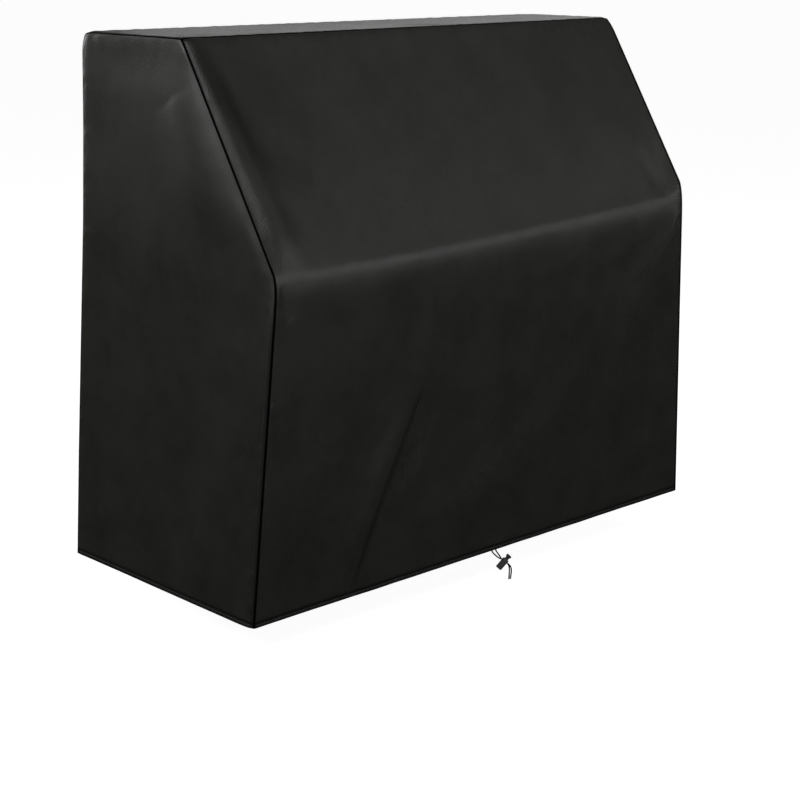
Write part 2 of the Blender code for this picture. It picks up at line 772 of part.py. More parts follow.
def make_lock():
    top = BARREL_ABOVE_HOLE
    floor = -BARREL_BELOW_HOLE
    barrel_radius = BARREL_DIAMETER / 2
    bore_radius = BORE_DIAMETER / 2
    barrel_outline = (
        (barrel_radius - BARREL_EDGE, floor),
        (barrel_radius, floor + BARREL_EDGE),
        (barrel_radius, top - BARREL_EDGE / 2),
        (barrel_radius - BARREL_EDGE / 2, top),
        (bore_radius, top),
        (bore_radius, floor + BARREL_FLOOR),
    )
    barrel = finish_mesh("cord_lock_barrel", turned_solid(barrel_outline), "lock")
    half = HOLE_TALL / 2
    cut(barrel, hole_cutter("barrel_hole_cutter", -half, half, HOLE_ACROSS))

    stem_radius = PLUNGER_DIAMETER / 2
    knob_radius = KNOB_DIAMETER / 2
    knob_base = top + NECK_TALL
    button_outline = (
        (stem_radius, -PLUNGER_BELOW_HOLE),
        (stem_radius, knob_base),
        (knob_radius - KNOB_EDGE / 2, knob_base),
        (knob_radius, knob_base + KNOB_EDGE / 2),
        (knob_radius, knob_base + KNOB_TALL - KNOB_EDGE),
        (knob_radius - KNOB_EDGE, knob_base + KNOB_TALL),
    )
    button = finish_mesh("cord_lock_button", turned_solid(button_outline), "button")
    cord_half = CORD_DIAMETER_M / MM / 2 + CORD_PLAY
    window = (-cord_half, cord_half + BUTTON_TRAVEL)
    cut(button, hole_cutter("button_hole_cutter", *window, HOLE_ACROSS))


def main():
    remove_everything()
    make_cover()
    for name, route in CORD_ROUTES.items():
        make_strand(name, route)
    make_lock()


main()
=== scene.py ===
"""Looks of the fitted piano cover: five sewn cloth panels, hem stitching, a drawcord and its cord lock.

Each panel is laid out on the same plain box shape, the "pattern", as the CAD panels (x across, y from the
back edge towards the front as negative numbers, z up from the hem), on a finer grid, with finer folds and
with puckers that the CAD leaves out. drape() then moves every point to where the hung cloth lies.
"""
import math
from collections import namedtuple

import bmesh
import bpy
import numpy as np
from mathutils import Matrix, Vector


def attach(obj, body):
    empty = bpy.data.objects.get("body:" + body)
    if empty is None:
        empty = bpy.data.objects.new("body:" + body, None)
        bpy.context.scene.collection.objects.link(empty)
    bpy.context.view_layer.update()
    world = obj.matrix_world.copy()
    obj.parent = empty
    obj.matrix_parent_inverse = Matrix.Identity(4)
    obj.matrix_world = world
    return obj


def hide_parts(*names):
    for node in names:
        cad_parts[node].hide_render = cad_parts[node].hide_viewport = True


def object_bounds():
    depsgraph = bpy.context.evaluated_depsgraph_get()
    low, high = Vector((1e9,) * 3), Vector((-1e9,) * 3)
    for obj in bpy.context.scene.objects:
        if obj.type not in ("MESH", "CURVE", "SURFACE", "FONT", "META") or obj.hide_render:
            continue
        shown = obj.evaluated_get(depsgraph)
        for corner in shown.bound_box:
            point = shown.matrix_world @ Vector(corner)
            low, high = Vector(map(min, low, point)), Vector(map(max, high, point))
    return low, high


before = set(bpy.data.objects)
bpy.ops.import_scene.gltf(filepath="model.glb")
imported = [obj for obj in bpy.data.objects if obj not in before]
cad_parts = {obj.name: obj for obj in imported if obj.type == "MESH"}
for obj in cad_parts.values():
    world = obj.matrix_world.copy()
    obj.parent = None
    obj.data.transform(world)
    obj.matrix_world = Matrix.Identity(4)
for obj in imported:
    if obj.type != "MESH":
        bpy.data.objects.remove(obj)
cad_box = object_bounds()

MM = 0.001

# ---- The pattern, as in the CAD, metres ----
WIDTH = 1.530
HEIGHT = 1.215
TOP_DEPTH = 0.301
KNEE_HEIGHT = 0.773
KNEE_DEPTH = 0.584
HEM_DEPTH = 0.572
BACK_HEM_KICK = 0.016
KNEE_RADIUS = 0.030
SLOPE_LEAN = math.atan2(KNEE_DEPTH - TOP_DEPTH, HEIGHT - KNEE_HEIGHT)
CLOTH = 0.0015
BEND_RADIUS = 0.0009
SEAM_GAP = -0.00005
TURNED_IN = 0.0075
HEM_TALL = 0.010
HEM_THICK = 0.0040
CORNER_EASE = 0.0003

# how far each upright edge is off the plain pattern at the hem, the knee and the top: (x, y, z), millimetres
EDGE_SHIFTS = {
    ("left", "back"): ((-1, 16, 16), (0, 5, 4), (0, 0, -2)),
    ("left", "front"): ((-5, 9, -11), (2, -28, -28), (5, -15, 6)),
    ("right", "back"): ((0, 5, 0), (1, -3, 0), (3, -15, -6)),
    ("right", "front"): ((1, -13, -5), (1, 35, 28), (-1, 15, 2)),
}
# how far each top corner is drawn in
CORNER_PULLS = {
    ("left", "back"): 0.008, ("right", "back"): 0.008, ("right", "front"): 0.005, ("left", "front"): 0.003,
}
PULL_REACH = 0.045
BACK_BOW = ((0.0, 0.0), (0.25, 0.10), (0.50, 0.50), (0.80, 1.0), (1.00, 0.80), (1.150, 0.25), (1.215, 0.0))
BOW_IN = 0.003
BOW_FORWARD = 0.004

# folds run through places of the pattern: (x, z) on the front, (y, z) on the sides, (x, y) on the top
Fold = namedtuple("Fold", "half_width rise route")
FRONT_FOLDS = (
    # the long narrow crease and the soft ridges on both sides of it
    Fold(0.009, -0.0012, ((-0.27, 0.462), (-0.276, 0.432), (-0.35, 0.288), (-0.417, 0.152), (-0.468, 0.022))),
    Fold(0.042, 0.0040, ((-0.330, 0.400), (-0.430, 0.200), (-0.492, 0.050))),
    Fold(0.036, 0.0018, ((-0.200, 0.380), (-0.262, 0.270), (-0.360, 0.130))),
    # the broad ridge above the hollow by the hem
    Fold(0.085, 0.0075, ((0.260, 0.300), (0.060, 0.180), (-0.140, 0.078), (-0.220, 0.045))),
    # the long ridge from the right knee corner
    Fold(0.050, 0.0028, ((0.690, 0.690), (0.660, 0.640), (0.548, 0.520), (0.467, 0.300), (0.324, 0.126))),
    Fold(0.030, -0.0009, ((0.640, 0.640), (0.438, 0.606), (0.046, 0.616))),
    Fold(0.030, 0.0022, ((0.690, 0.200), (0.610, 0.110), (0.560, 0.030))),
    # the hollow of the slope by its upper left corner
    Fold(0.050, -0.0070, ((-0.735, 1.195), (-0.680, 1.120), (-0.640, 1.020), (-0.540, 0.950))),
)
# where the front cloth carries painted shade (darker and rougher), as shares of full black: the crease and
# the slope's hollow
PAINTED_SHADE_PLACES = (
    FRONT_FOLDS[0]._replace(rise=0.5),
    Fold(0.034, 0.24, ((-0.762, 1.226), (-0.736, 1.160), (-0.716, 1.100), (-0.690, 1.020), (-0.665, 0.960))),
    Fold(0.095, 0.17, ((-0.735, 1.190), (-0.660, 1.120), (-0.590, 1.060), (-0.520, 0.990))),
)
# share of a fold's height at its ends, and how far in and by which edges folds and sags are held back
FOLD_END = 0.15
FOLD_REACH_IN = (0.050, 0.250)
SEAM_HOLD = (0.015, 0.110)
HEM_HOLD = (0.010, 0.160)
HEM_SHARE = 0.35
TOP_HOLD = (0.010, 0.120)
TOP_SAG = 0.004
SLOPE_SAG = 0.008
SIDE_SAG = 0.007
BACK_SAG = 0.006
SAG_REACH_IN = 0.150
KNEE_DROPS = ((0.0, 0.0), (0.06, 0.008), (0.35, 0.021), (0.60, 0.028), (0.85, 0.034), (1.0, 0.030))
KNEE_DROP_REACH = 0.120
KNEE_DROP_HOLD = (0.004, 0.046)

# ---- What the scene adds to the cloth ----
BEND_STEPS = 5
KNEE_ARC = 0.100
KNEE_SOFTNESS = 0.025
GRID_STEP = 0.008
BACK_GRID_STEP = 0.016
CREASE_STEP = 0.004
CREASE_MARGIN = 0.02
KNEE_STEP = 0.0035
HEM_PLACES = (0.0, 0.0012, 0.003, 0.0052, 0.0074, 0.009, 0.010, 0.011, 0.0128, 0.016, 0.021, 0.028)
EDGE_PLACES = (0.0, 0.0025, 0.006, 0.011, 0.017, 0.024, 0.032)
Roll = namedtuple("Roll", "rise reach")
PLAIN_ROLL = Roll(0.0012, 0.017)
# the slope's left edge, at the knee and at the top: steepness, sharpness, how far in its crest lies, and
# the share of its height kept past the crest, which fades over EDGE_FADE from the seam
EDGE_SLOPE = (0.40, 0.31)
EDGE_BEND = (1.6, 1.0)
EDGE_REACH = (0.060, 0.025)
EDGE_KEPT = (0.35, 0.0)
EDGE_FADE = (0.10, 0.50)
LOWER_EDGE_ROLL = Roll(0.0003, 0.010)
SLOPE_BLEND = {
    "front": (KNEE_HEIGHT - 0.010, KNEE_HEIGHT + 0.090),
    "left": (KNEE_HEIGHT - 0.180, KNEE_HEIGHT + 0.160),
    "right": (KNEE_HEIGHT - 0.180, KNEE_HEIGHT + 0.160),
}
SIDE_SLOPE_TURN = Roll(0.0105, 0.045)
SIDE_LOWER_TURN = Roll(0.0050, 0.010)
# painted shade by the seams and the hem, as distances where it starts and ends, or as (height, share)
SEAM_PAINTED_SHADE = (0.0, 0.0010)
RIGHT_SEAM_PAINTED_SHADE = (0.0050, 0.0090)
SIDE_SEAM_SHADE = (0.6, 0.004, 0.020)
HEM_PAINTED_SHADE = (
    (0.0, 0.7), (0.0018, 0.6), (0.0042, 0.25), (0.0068, 0.25),
    (0.0084, 0.75), (0.0125, 0.75), (0.0160, 0.1), (0.0210, 0.0),
)
PUCKER_RISE = 0.0006
PUCKER_REACH = 0.020
PUCKER_START = (0.001, 0.008)
RIPPLE_RISE = 0.0009
RIPPLE_START = (0.004, 0.060)
FOLD_START = (0.002, 0.022)
ROLL_START = (0.0, 0.006)
SIDE_TURN_START = (0.0, 0.450)
SIDE_TURN_TOP = (0.0, 0.120)
HEM_START = (0.0, 0.012)
HEM_STEP = (HEM_TALL - 0.001, HEM_TALL + 0.001)
HEM_BULGE = 0.0009
STITCH_GROOVE = 0.0013
STITCH_PLACE = 0.0100
GROOVE_REACH = 0.0022

FINE_FOLDS = {
    "front": (
        # dent above the right knee corner and short folds below it
        Fold(0.030, -0.0032, ((0.650, 0.890), (0.676, 0.840), (0.704, 0.800))),
        Fold(0.014, 0.0014, ((0.748, 0.745), (0.712, 0.640))),
        # left knee corner
        Fold(0.013, -0.0030, ((-0.757, 0.765), (-0.738, 0.720), (-0.714, 0.690))),
    ),
    "left": (
        Fold(0.050, 0.0060, ((-0.290, 1.100), (-0.460, 0.840))),
    ),
    "right": (
        Fold(0.020, -0.0022, ((-0.545, 0.735), (-0.430, 0.640))),
        Fold(0.020, 0.0018, ((-0.540, 0.790), (-0.450, 0.860))),
    ),
    "top": (
        Fold(0.010, 0.0022, ((-0.735, -0.285), (-0.560, -0.190))),
        Fold(0.009, -0.0018, ((-0.740, -0.270), (-0.620, -0.150))),
        Fold(0.009, -0.0018, ((-0.700, -0.292), (-0.430, -0.240))),
        Fold(0.012, 0.0020, ((0.075, -0.150), (0.210, -0.275))),
    ),
    "back": (),
}


def smooth(low, high, value):
    """0 below low, 1 above high, and an even curve between."""
    share = np.clip((value - low) / (high - low), 0.0, 1.0)
    return share * share * (3.0 - 2.0 * share)


def along(table, value):
    places, numbers = zip(*table)
    return np.interp(value, places, numbers)


def front_y(z):
    return -along(((0.0, HEM_DEPTH), (KNEE_HEIGHT, KNEE_DEPTH), (HEIGHT, TOP_DEPTH)), z)


def back_y(z):
    return along(((0.0, BACK_HEM_KICK), (HEIGHT, 0.0)), z)


def hump(share):
    return np.sin(np.pi * np.clip(share, 0.0, 1.0))


def corner_column(side, face, z):
    levels = (0.0, KNEE_HEIGHT, HEIGHT)
    return np.stack([np.interp(z, levels, part) for part in zip(*EDGE_SHIFTS[side, face])], axis=1) * MM


def corner_shift(u, v, z):
    u, v = u[:, None], v[:, None]
    left, right = (
        corner_column(side, "back", z) * (1 - v) + corner_column(side, "front", z) * v
        for side in ("left", "right")
    )
    return left * (1 - u) + right * u


def corner_rounding(points):
    total = np.zeros_like(points)
    for (side, face), pull in CORNER_PULLS.items():
        sign = -1.0 if side == "left" else 1.0
        corner = np.array((sign * WIDTH / 2, 0.0 if face == "back" else -TOP_DEPTH, HEIGHT))
        near = np.clip(1.0 - np.linalg.norm(points - corner, axis=1) / PULL_REACH, 0.0, None)
        towards = np.array((-sign, -1.0 if face == "back" else 1.0, -1.0)) / math.sqrt(3.0)
        total += towards * (pull * near * near)[:, None]
    return total


def fold_sum(folds, p, q):
    """Height of a set of folds at places (p, q), each a soft ridge or valley that fades at both ends."""
    rise = np.zeros_like(p)
    for fold in folds:
        route = np.array(fold.route)
        runs = route[1:] - route[:-1]
        lengths = np.hypot(runs[:, 0], runs[:, 1])
        starts = np.concatenate(([0.0], np.cumsum(lengths)))
        nearest = np.full(p.shape, np.inf)
        place = np.zeros_like(p)
        for start, run, length, before in zip(route, runs, lengths, starts):
            offset_p, offset_q = p - start[0], q - start[1]
            share = np.clip((offset_p * run[0] + offset_q * run[1]) / (length * length), 0.0, 1.0)
            away = np.hypot(offset_p - run[0] * share, offset_q - run[1] * share)
            place = np.where(away < nearest, before + length * share, place)
            nearest = np.minimum(nearest, away)
        fade = FOLD_END + (1.0 - FOLD_END) * np.sqrt(hump(place / starts[-1]))
        rise += fold.rise * fade * np.exp(-((nearest / fold.half_width) ** 2))
    return rise


def fold_rise(x, z):
    rise = fold_sum(FRONT_FOLDS, x, z)
    from_seam = WIDTH / 2 - np.abs(x)
    held = smooth(*SEAM_HOLD, from_seam) * smooth(*TOP_HOLD, HEIGHT - z)
    at_hem = HEM_SHARE + (1.0 - HEM_SHARE) * smooth(*HEM_HOLD, z)
    return rise * held * at_hem


def sagging(away):
    """1 on a face of the pattern, and less away from it."""
    return 1.0 - smooth(0.0, SAG_REACH_IN, away)


def drape(points):
    """Where points of the pattern lie on the hung cover."""
    points = np.atleast_2d(np.asarray(points, float))
    x, y, z = points.T
    u = x / WIDTH + 0.5
    front, back = front_y(z), back_y(z)
    v = (back - y) / (back - front)
    z_share = np.clip(z / HEIGHT, 0.0, 1.0)
    moved = points + corner_shift(u, v, z) + corner_rounding(points)

    bow = along(BACK_BOW, z)
    at_back = np.clip(1.0 - v, 0.0, None) ** 2
    moved[:, 0] += BOW_IN * bow * at_back * (1.0 - 2.0 * u)
    moved[:, 1] -= BOW_FORWARD * bow * at_back

    near_front = 1.0 - smooth(*FOLD_REACH_IN, np.clip(y - front, 0.0, None))
    slope_share = np.clip((z - KNEE_HEIGHT) / (HEIGHT - KNEE_HEIGHT), 0.0, None)
    out = fold_rise(x, z) - SLOPE_SAG * hump(slope_share) * hump(u)
    steep = smooth(KNEE_HEIGHT - KNEE_RADIUS, KNEE_HEIGHT + KNEE_RADIUS, z)
    lean = SLOPE_LEAN * steep
    moved[:, 1] -= out * near_front * np.cos(lean)
    moved[:, 2] += out * near_front * np.sin(lean)
    knee_near = np.exp(-(((z - KNEE_HEIGHT) / KNEE_DROP_REACH) ** 2))
    drop = along(KNEE_DROPS, u) * smooth(*KNEE_DROP_HOLD, WIDTH / 2 - x)
    moved[:, 2] -= drop * knee_near * near_front

    moved[:, 2] -= TOP_SAG * hump(u) * hump(v) * sagging(HEIGHT - z)
    moved[:, 1] -= BACK_SAG * hump(u) * hump(z_share) * sagging(back - y)
    inward = sagging(x + WIDTH / 2) - sagging(WIDTH / 2 - x)
    moved[:, 0] += SIDE_SAG * hump(v) * hump(z_share) * inward
    return moved


ORIGIN = drape((0.0, -TOP_DEPTH / 2, HEIGHT - CLOTH))[0]


def placed(points):
    """Points of the pattern, in the frame of the part."""
    return drape(points) - ORIGIN


def add_object(name, data):
    made = bpy.data.objects.new(name, data)
    bpy.context.scene.collection.objects.link(made)
    return made


# ---- Camera ----
CAMERA_FROM_BACK_EDGE = Vector((-3.719, -3.598, 1.5594))
YAW, PITCH, ROLL = (math.radians(a) for a in (48.219, 14.047, 1.649))
FOCAL_SHARE = 2092.5 / 800
SENSOR_MM = 36.0


def make_camera():
    forward = Vector((math.sin(YAW) * math.cos(PITCH), math.cos(YAW) * math.cos(PITCH), -math.sin(PITCH)))
    level = Vector((math.cos(YAW), -math.sin(YAW), 0.0))
    upright = level.cross(forward)
    right = level * math.cos(ROLL) + upright * math.sin(ROLL)
    up = upright * math.cos(ROLL) - level * math.sin(ROLL)
    data = bpy.data.cameras.new("camera")
    data.sensor_width = SENSOR_MM
    data.lens = FOCAL_SHARE * SENSOR_MM
    data.clip_end = 200.0
    camera = add_object("camera", data)
    turn = Matrix((right, up, -forward)).transposed().to_4x4()
    camera.matrix_world = Matrix.Translation(CAMERA_FROM_BACK_EDGE - Vector(ORIGIN)) @ turn
    bpy.context.scene.camera = camera


make_camera()

# ---- Materials ----
class Nodes:
    """Short calls for the node tree of a material or a world."""

    def __init__(self, owner, shader="Principled BSDF"):
        owner.use_nodes = True
        self.owner = owner
        self.tree = owner.node_tree
        self.shader = self.tree.nodes[shader]

    def feed(self, socket, value):
        """Links another node's output to the socket, or sets its own number or colour."""
        if hasattr(value, "is_output"):
            self.tree.links.new(value, socket)
        else:
            socket.default_value = (*value, 1.0) if socket.type == "RGBA" else value

    def add(self, kind, output, inputs=None, **settings):
        node = self.tree.nodes.new(kind)
        for key, value in settings.items():
            setattr(node, key, value)
        for key, value in (inputs or {}).items():
            self.feed(node.inputs[key], value)
        return node.outputs[output]

    def math(self, operation, *values):
        return self.add("ShaderNodeMath", 0, dict(enumerate(values)), operation=operation)

    def mix(self, factor, first, second):
        return self.add("ShaderNodeMix", 2, {0: factor, 6: first, 7: second}, data_type="RGBA")

    def noise(self, vector, scale, detail=2.0, roughness=0.5):
        inputs = {"Vector": vector, "Scale": scale, "Detail": detail, "Roughness": roughness}
        return self.add("ShaderNodeTexNoise", "Fac", inputs)

    def object_place(self):
        return self.add("ShaderNodeTexCoord", "Object")

    def uv(self, name):
        return self.add("ShaderNodeUVMap", "UV", uv_map=name)

    def bump(self, height, distance, strength, **normal):
        inputs = {"Height": height, "Distance": distance, "Strength": strength}
        return self.add("ShaderNodeBump", "Normal", {**inputs, **normal})

    def set(self, **values):
        """Feeds the shader's own sockets."""
        for key, value in values.items():
            self.feed(self.shader.inputs[key.replace("_", " ")], value)


TURN = 2.0 * math.pi
WEAVE_PITCH = 0.0070
RIBS_IN_PITCH = 5
TWILL_SHARE = 0.2
CLOTH_DARK = (0.0040, 0.0040, 0.0032)
CLOTH_LIGHT = (0.0210, 0.0210, 0.0170)
# near-black colour of the painted shade in the seams, the hem, the crease and the slope's hollow
PAINTED_SHADE_BLACK = (0.0008, 0.0008, 0.0008)
# noises of the cloth: scale, detail, roughness
CLOUDY = (7.0, 4.0, 0.6)
BLOTCHY = (38.0, 3.0, 0.6)
FIBRE = (1500.0, 1.0, 0.5)


def cloth_material():
    n = Nodes(bpy.data.materials.new("cover_cloth"))
    uv = n.uv("cloth")
    place = n.object_place()
    runs = [n.add("ShaderNodeSeparateXYZ", axis, {0: uv}) for axis in "XY"]
    warp, weft = (n.math("MULTIPLY", run, TURN / WEAVE_PITCH) for run in runs)
    cross = n.math("MULTIPLY", n.math("SINE", warp), n.math("SINE", weft))
    diagonal = n.math("COSINE", n.math("ADD", warp, weft))
    weave = n.math("MULTIPLY_ADD", diagonal, -TWILL_SHARE, cross)
    over = n.math("MULTIPLY_ADD", weave, 0.42, 0.5)
    warp_ribs, weft_ribs = (n.math("SINE", n.math("MULTIPLY", run, RIBS_IN_PITCH)) for run in (warp, weft))
    ribs = n.math("MULTIPLY_ADD", n.math("SUBTRACT", warp_ribs, weft_ribs), over, weft_ribs)

    cloudy, blotchy, fibre = n.noise(place, *CLOUDY), n.noise(place, *BLOTCHY), n.noise(uv, *FIBRE)
    # mask of painted shade: it blends in the near-black colour, turns the cloth metallic and raises its
    # roughness
    painted_shade = n.add("ShaderNodeAttribute", "Fac", attribute_name="painted_shade")

    shade = n.math("MULTIPLY_ADD", cloudy, 1.2, n.math("MULTIPLY", blotchy, 0.8))
    woven = n.mix(over, CLOTH_DARK, CLOTH_LIGHT)
    toned = n.add("ShaderNodeHueSaturation", 0, {"Color": woven, "Value": shade})
    rough = n.math("MULTIPLY_ADD", cloudy, 0.12, 0.33)
    rough = n.math("SUBTRACT", rough, n.math("MULTIPLY", over, 0.13))
    height = n.math("MULTIPLY_ADD", fibre, 0.10, n.math("MULTIPLY_ADD", ribs, 0.10, over))
    n.set(
        Base_Color=n.mix(painted_shade, toned, PAINTED_SHADE_BLACK),
        Metallic=painted_shade,
        Roughness=n.math("MAXIMUM", rough, painted_shade),
        Normal=n.bump(height, 0.00040, 0.9, Normal=n.bump(blotchy, 0.0014, 0.35)),
        Specular_IOR_Level=0.5,
        Sheen_Weight=0.02,
        Sheen_Roughness=0.5,
    )
    return n.owner


def thread_material():
    n = Nodes(bpy.data.materials.new("hem_thread"))
    grain = n.noise(n.object_place(), 900.0)
    n.set(
        Base_Color=n.mix(grain, (0.002, 0.002, 0.002), (0.006, 0.006, 0.006)),
        Roughness=n.math("MULTIPLY_ADD", grain, 0.2, 0.5),
        Normal=n.bump(grain, 0.0001, 0.6),
        Specular_IOR_Level=0.2,
    )
    return n.owner


def cord_material():
    n = Nodes(bpy.data.materials.new("braided_cord"))
    fibre = n.noise(n.uv("cloth"), 2600.0)
    worn = n.noise(n.object_place(), 160.0, 3.0)
    n.set(
        Base_Color=n.mix(worn, (0.004, 0.004, 0.004), (0.011, 0.011, 0.011)),
        Roughness=n.math("MULTIPLY_ADD", fibre, 0.25, 0.55),
        Normal=n.bump(fibre, 0.00008, 0.7),
        Specular_IOR_Level=0.3,
        Sheen_Weight=0.05,
        Sheen_Roughness=0.4,
    )
    return n.owner


def plastic_material(name, dark, light, roughness):
    n = Nodes(bpy.data.materials.new(name))
    place = n.object_place()
    grain = n.noise(place, 1400.0)
    worn = n.noise(place, 120.0, 4.0, 0.65)
    n.set(
        Base_Color=n.mix(worn, dark, light),
        Roughness=n.math("MULTIPLY_ADD", worn, 0.18, roughness),
        Normal=n.bump(grain, 0.00006, 0.6),
        Specular_IOR_Level=0.5,
    )
    return n.owner


CLOTH_FINISH = cloth_material()
THREAD_FINISH = thread_material()
CORD_FINISH = cord_material()
BARREL_FINISH = plastic_material("lock_plastic", (0.050, 0.050, 0.052), (0.095, 0.095, 0.098), 0.26)
BUTTON_FINISH = plastic_material("button_plastic", (0.020, 0.020, 0.021), (0.045, 0.045, 0.047), 0.26)


def new_object(name, verts, faces, material, uvs=None, sharp=60.0):
    """A smooth-shaded mesh object; uvs is {layer name: one (u, v) for each vertex}."""
    data = bpy.data.meshes.new(name)
    data.from_pydata([tuple(v) for v in verts], [], [tuple(int(k) for k in f) for f in faces])
    for layer, table in (uvs or {}).items():
        loops = np.zeros(len(data.loops), np.int32)
        data.loops.foreach_get("vertex_index", loops)
        made = data.uv_layers.new(name=layer)
        made.data.foreach_set("uv", np.asarray(table, np.float32)[loops].ravel())
    data.validate()
    thing = add_object(name, data)
    mesh = bmesh.new()
    mesh.from_mesh(data)
    bmesh.ops.recalc_face_normals(mesh, faces=mesh.faces)
    mesh.to_mesh(data)
    mesh.free()
    data.shade_smooth()
    data.set_sharp_from_angle(angle=math.radians(sharp))
    data.materials.append(material)
    return thing


def tube_faces(rings, sides, first=0):
    """Faces of a tube through closed rings of points, the first point having the number first."""
    faces = []
    last = first + (rings - 1) * sides
    for ring in range(first, last, sides):
        for k in range(sides):
            after = (k + 1) % sides
            faces.append((ring + k, ring + after, ring + sides + after, ring + sides + k))
    return faces + [tuple(range(start, start + sides)) for start in (first, last)]


# ---- Drawcord: the routes of the CAD, millimetres from where the left strand leaves the hem ----
CORD_DIAMETER = 0.0035
CORD_EXIT_X = 0.018
LOCK_SIDEWAYS = np.array((0.80, -0.60, 0.0))
LOCK_OUTWARD = np.array((-0.60, -0.80, 0.0))
UPWARD = np.array((0.0, 0.0, 1.0))
CORD_ROUTES = {
    "drawcord_strand_left": (
        (0.0, -0.4, 0.0), (0.2, -4.2, 0.0), (4.8, -9.4, 0.6), (12.1, -16.0, 1.3), (18.2, -20.4, 1.9),
        (23.0, -21.8, 1.95), (25.3, -23.7, 1.95), (31.4, -28.8, 1.95), (37.5, -33.9, 1.95),
        (39.6, -35.7, 1.95), (42.2, -40.2, 1.8), (43.8, -46.6, 1.4), (44.4, -55.6, 1.0),
        (44.2, -66.6, 0.9), (44.0, -75.1, 0.9),
    ),
    "drawcord_strand_right": (
        (11.2, -0.4, -8.4), (11.3, -4.0, -8.3), (14.4, -8.6, -6.4), (18.6, -14.4, -3.8),
        (21.6, -19.0, -2.2), (23.4, -21.9, -1.95), (25.3, -23.7, -1.95), (31.4, -28.8, -1.95),
        (37.5, -33.9, -1.95), (40.2, -36.0, -2.0), (45.0, -40.2, -1.9), (48.4, -45.6, -1.5),
        (50.0, -55.0, -1.1), (49.1, -65.8, -0.9), (48.3, -75.1, -0.9),
    ),
}
CORD_STEP = 0.0005
CORD_SIDES = 24
BRAID_PITCH = 0.0050
BRAID_STRANDS = 4
BRAID_DEPTH = 0.00013
BRAID_MIDDLE = 0.7
CUT_ROUND = 0.5
CUT_LEAST = 0.06
SPLINE_STEPS = 24
KNEE_STEPS = 200


# ---- Profile up the front: a lower and a sloping straight with a soft knee between ----
def front_profile():
    """Rows of (place, y, z, lean) along the cloth from the hem to the top front edge."""
    lean_low = math.atan2(HEM_DEPTH - KNEE_DEPTH, KNEE_HEIGHT)
    turn = SLOPE_LEAN - lean_low
    arc = np.linspace(0.0, KNEE_ARC, KNEE_STEPS + 1)
    bend = np.exp((arc - KNEE_ARC) / KNEE_SOFTNESS)
    leans = lean_low + turn * (bend - bend[0]) / (1.0 - bend[0])
    middle = (leans[1:] + leans[:-1]) / 2
    step = arc[1] - arc[0]
    y = np.concatenate(([0.0], np.cumsum(np.sin(middle)))) * step
    z = np.concatenate(([0.0], np.cumsum(np.cos(middle)))) * step
    # slide the arc along the lower straight until its end lies on the sloping straight
    normal = (math.cos(SLOPE_LEAN), -math.sin(SLOPE_LEAN))
    miss = y[-1] * normal[0] + z[-1] * normal[1]
    slide = miss / (math.sin(lean_low) * normal[0] + math.cos(lean_low) * normal[1])
    start_y = -KNEE_DEPTH - slide * math.sin(lean_low)
    start_z = KNEE_HEIGHT - slide * math.cos(lean_low)
    y, z = y + start_y, z + start_z
    low_length = math.hypot(start_y + HEM_DEPTH, start_z)
    high_length = math.hypot(-TOP_DEPTH - y[-1], HEIGHT - z[-1])
    places = np.concatenate(([0.0], low_length + arc, [low_length + KNEE_ARC + high_length]))
    return (
        places,
        np.concatenate(([-HEM_DEPTH], y, [-TOP_DEPTH])),
        np.concatenate(([0.0], z, [HEIGHT])),
        np.concatenate(([lean_low], leans, [SLOPE_LEAN])),
        low_length,
    )


PROFILE_PLACES, PROFILE_Y, PROFILE_Z, PROFILE_LEAN, KNEE_START = front_profile()
FRONT_LENGTH = PROFILE_PLACES[-1]


def front_path(place):
    """Point on the front profile at x 0, and the direction into the box."""
    y = np.interp(place, PROFILE_PLACES, PROFILE_Y)
    z = np.interp(place, PROFILE_PLACES, PROFILE_Z)
    lean = np.interp(place, PROFILE_PLACES, PROFILE_LEAN)
    return np.array((0.0, y, z)), np.array((0.0, math.cos(lean), -math.sin(lean)))


def hem_exit():
    """Middle of the hem's lower face where the left strand comes out."""
    point, inward = front_path(0.0)
    return placed(point + (CORD_EXIT_X, 0.0, 0.0) + inward * HEM_THICK / 2)[0]


def lock_place(side, up, out):
    return hem_exit() + (LOCK_SIDEWAYS * side + UPWARD * up + LOCK_OUTWARD * out) * MM


def through(points, step):
    """Evenly spaced points on a smooth curve through the given points."""
    points = [np.asarray(p, float) for p in points]
    padded = [points[0] * 2 - points[1], *points, points[-1] * 2 - points[-2]]
    fine = []
    for before, start, end, after in zip(padded, padded[1:], padded[2:], padded[3:]):
        for t in np.arange(SPLINE_STEPS) / SPLINE_STEPS:
            fine.append(0.5 * (
                2 * start + (end - before) * t
                + (2 * before - 5 * start + 4 * end - after) * t ** 2
                + (3 * start - before - 3 * end + after) * t ** 3
            ))
    fine = np.array([*fine, points[-1]])
    lengths = np.concatenate(([0.0], np.cumsum(np.linalg.norm(np.diff(fine, axis=0), axis=1))))
    count = max(2, round(lengths[-1] / step))
    goals = np.linspace(0.0, lengths[-1], count + 1)
    return np.stack([np.interp(goals, lengths, fine[:, k]) for k in range(3)], axis=1), lengths[-1]


def carried_frames(points):
    """Two directions square to the path at each point, turning as little as possible along the way."""
    tangents = np.gradient(points, axis=0)
    tangents /= np.linalg.norm(tangents, axis=1)[:, None]
    side = np.cross(tangents[0], (0.3, 0.9, 0.1))
    sides = []
    for tangent in tangents:
        side = side - tangent * (side @ tangent)
        side = side / np.linalg.norm(side)
        sides.append(side)
    sides = np.array(sides)
    return sides, np.cross(tangents, sides)


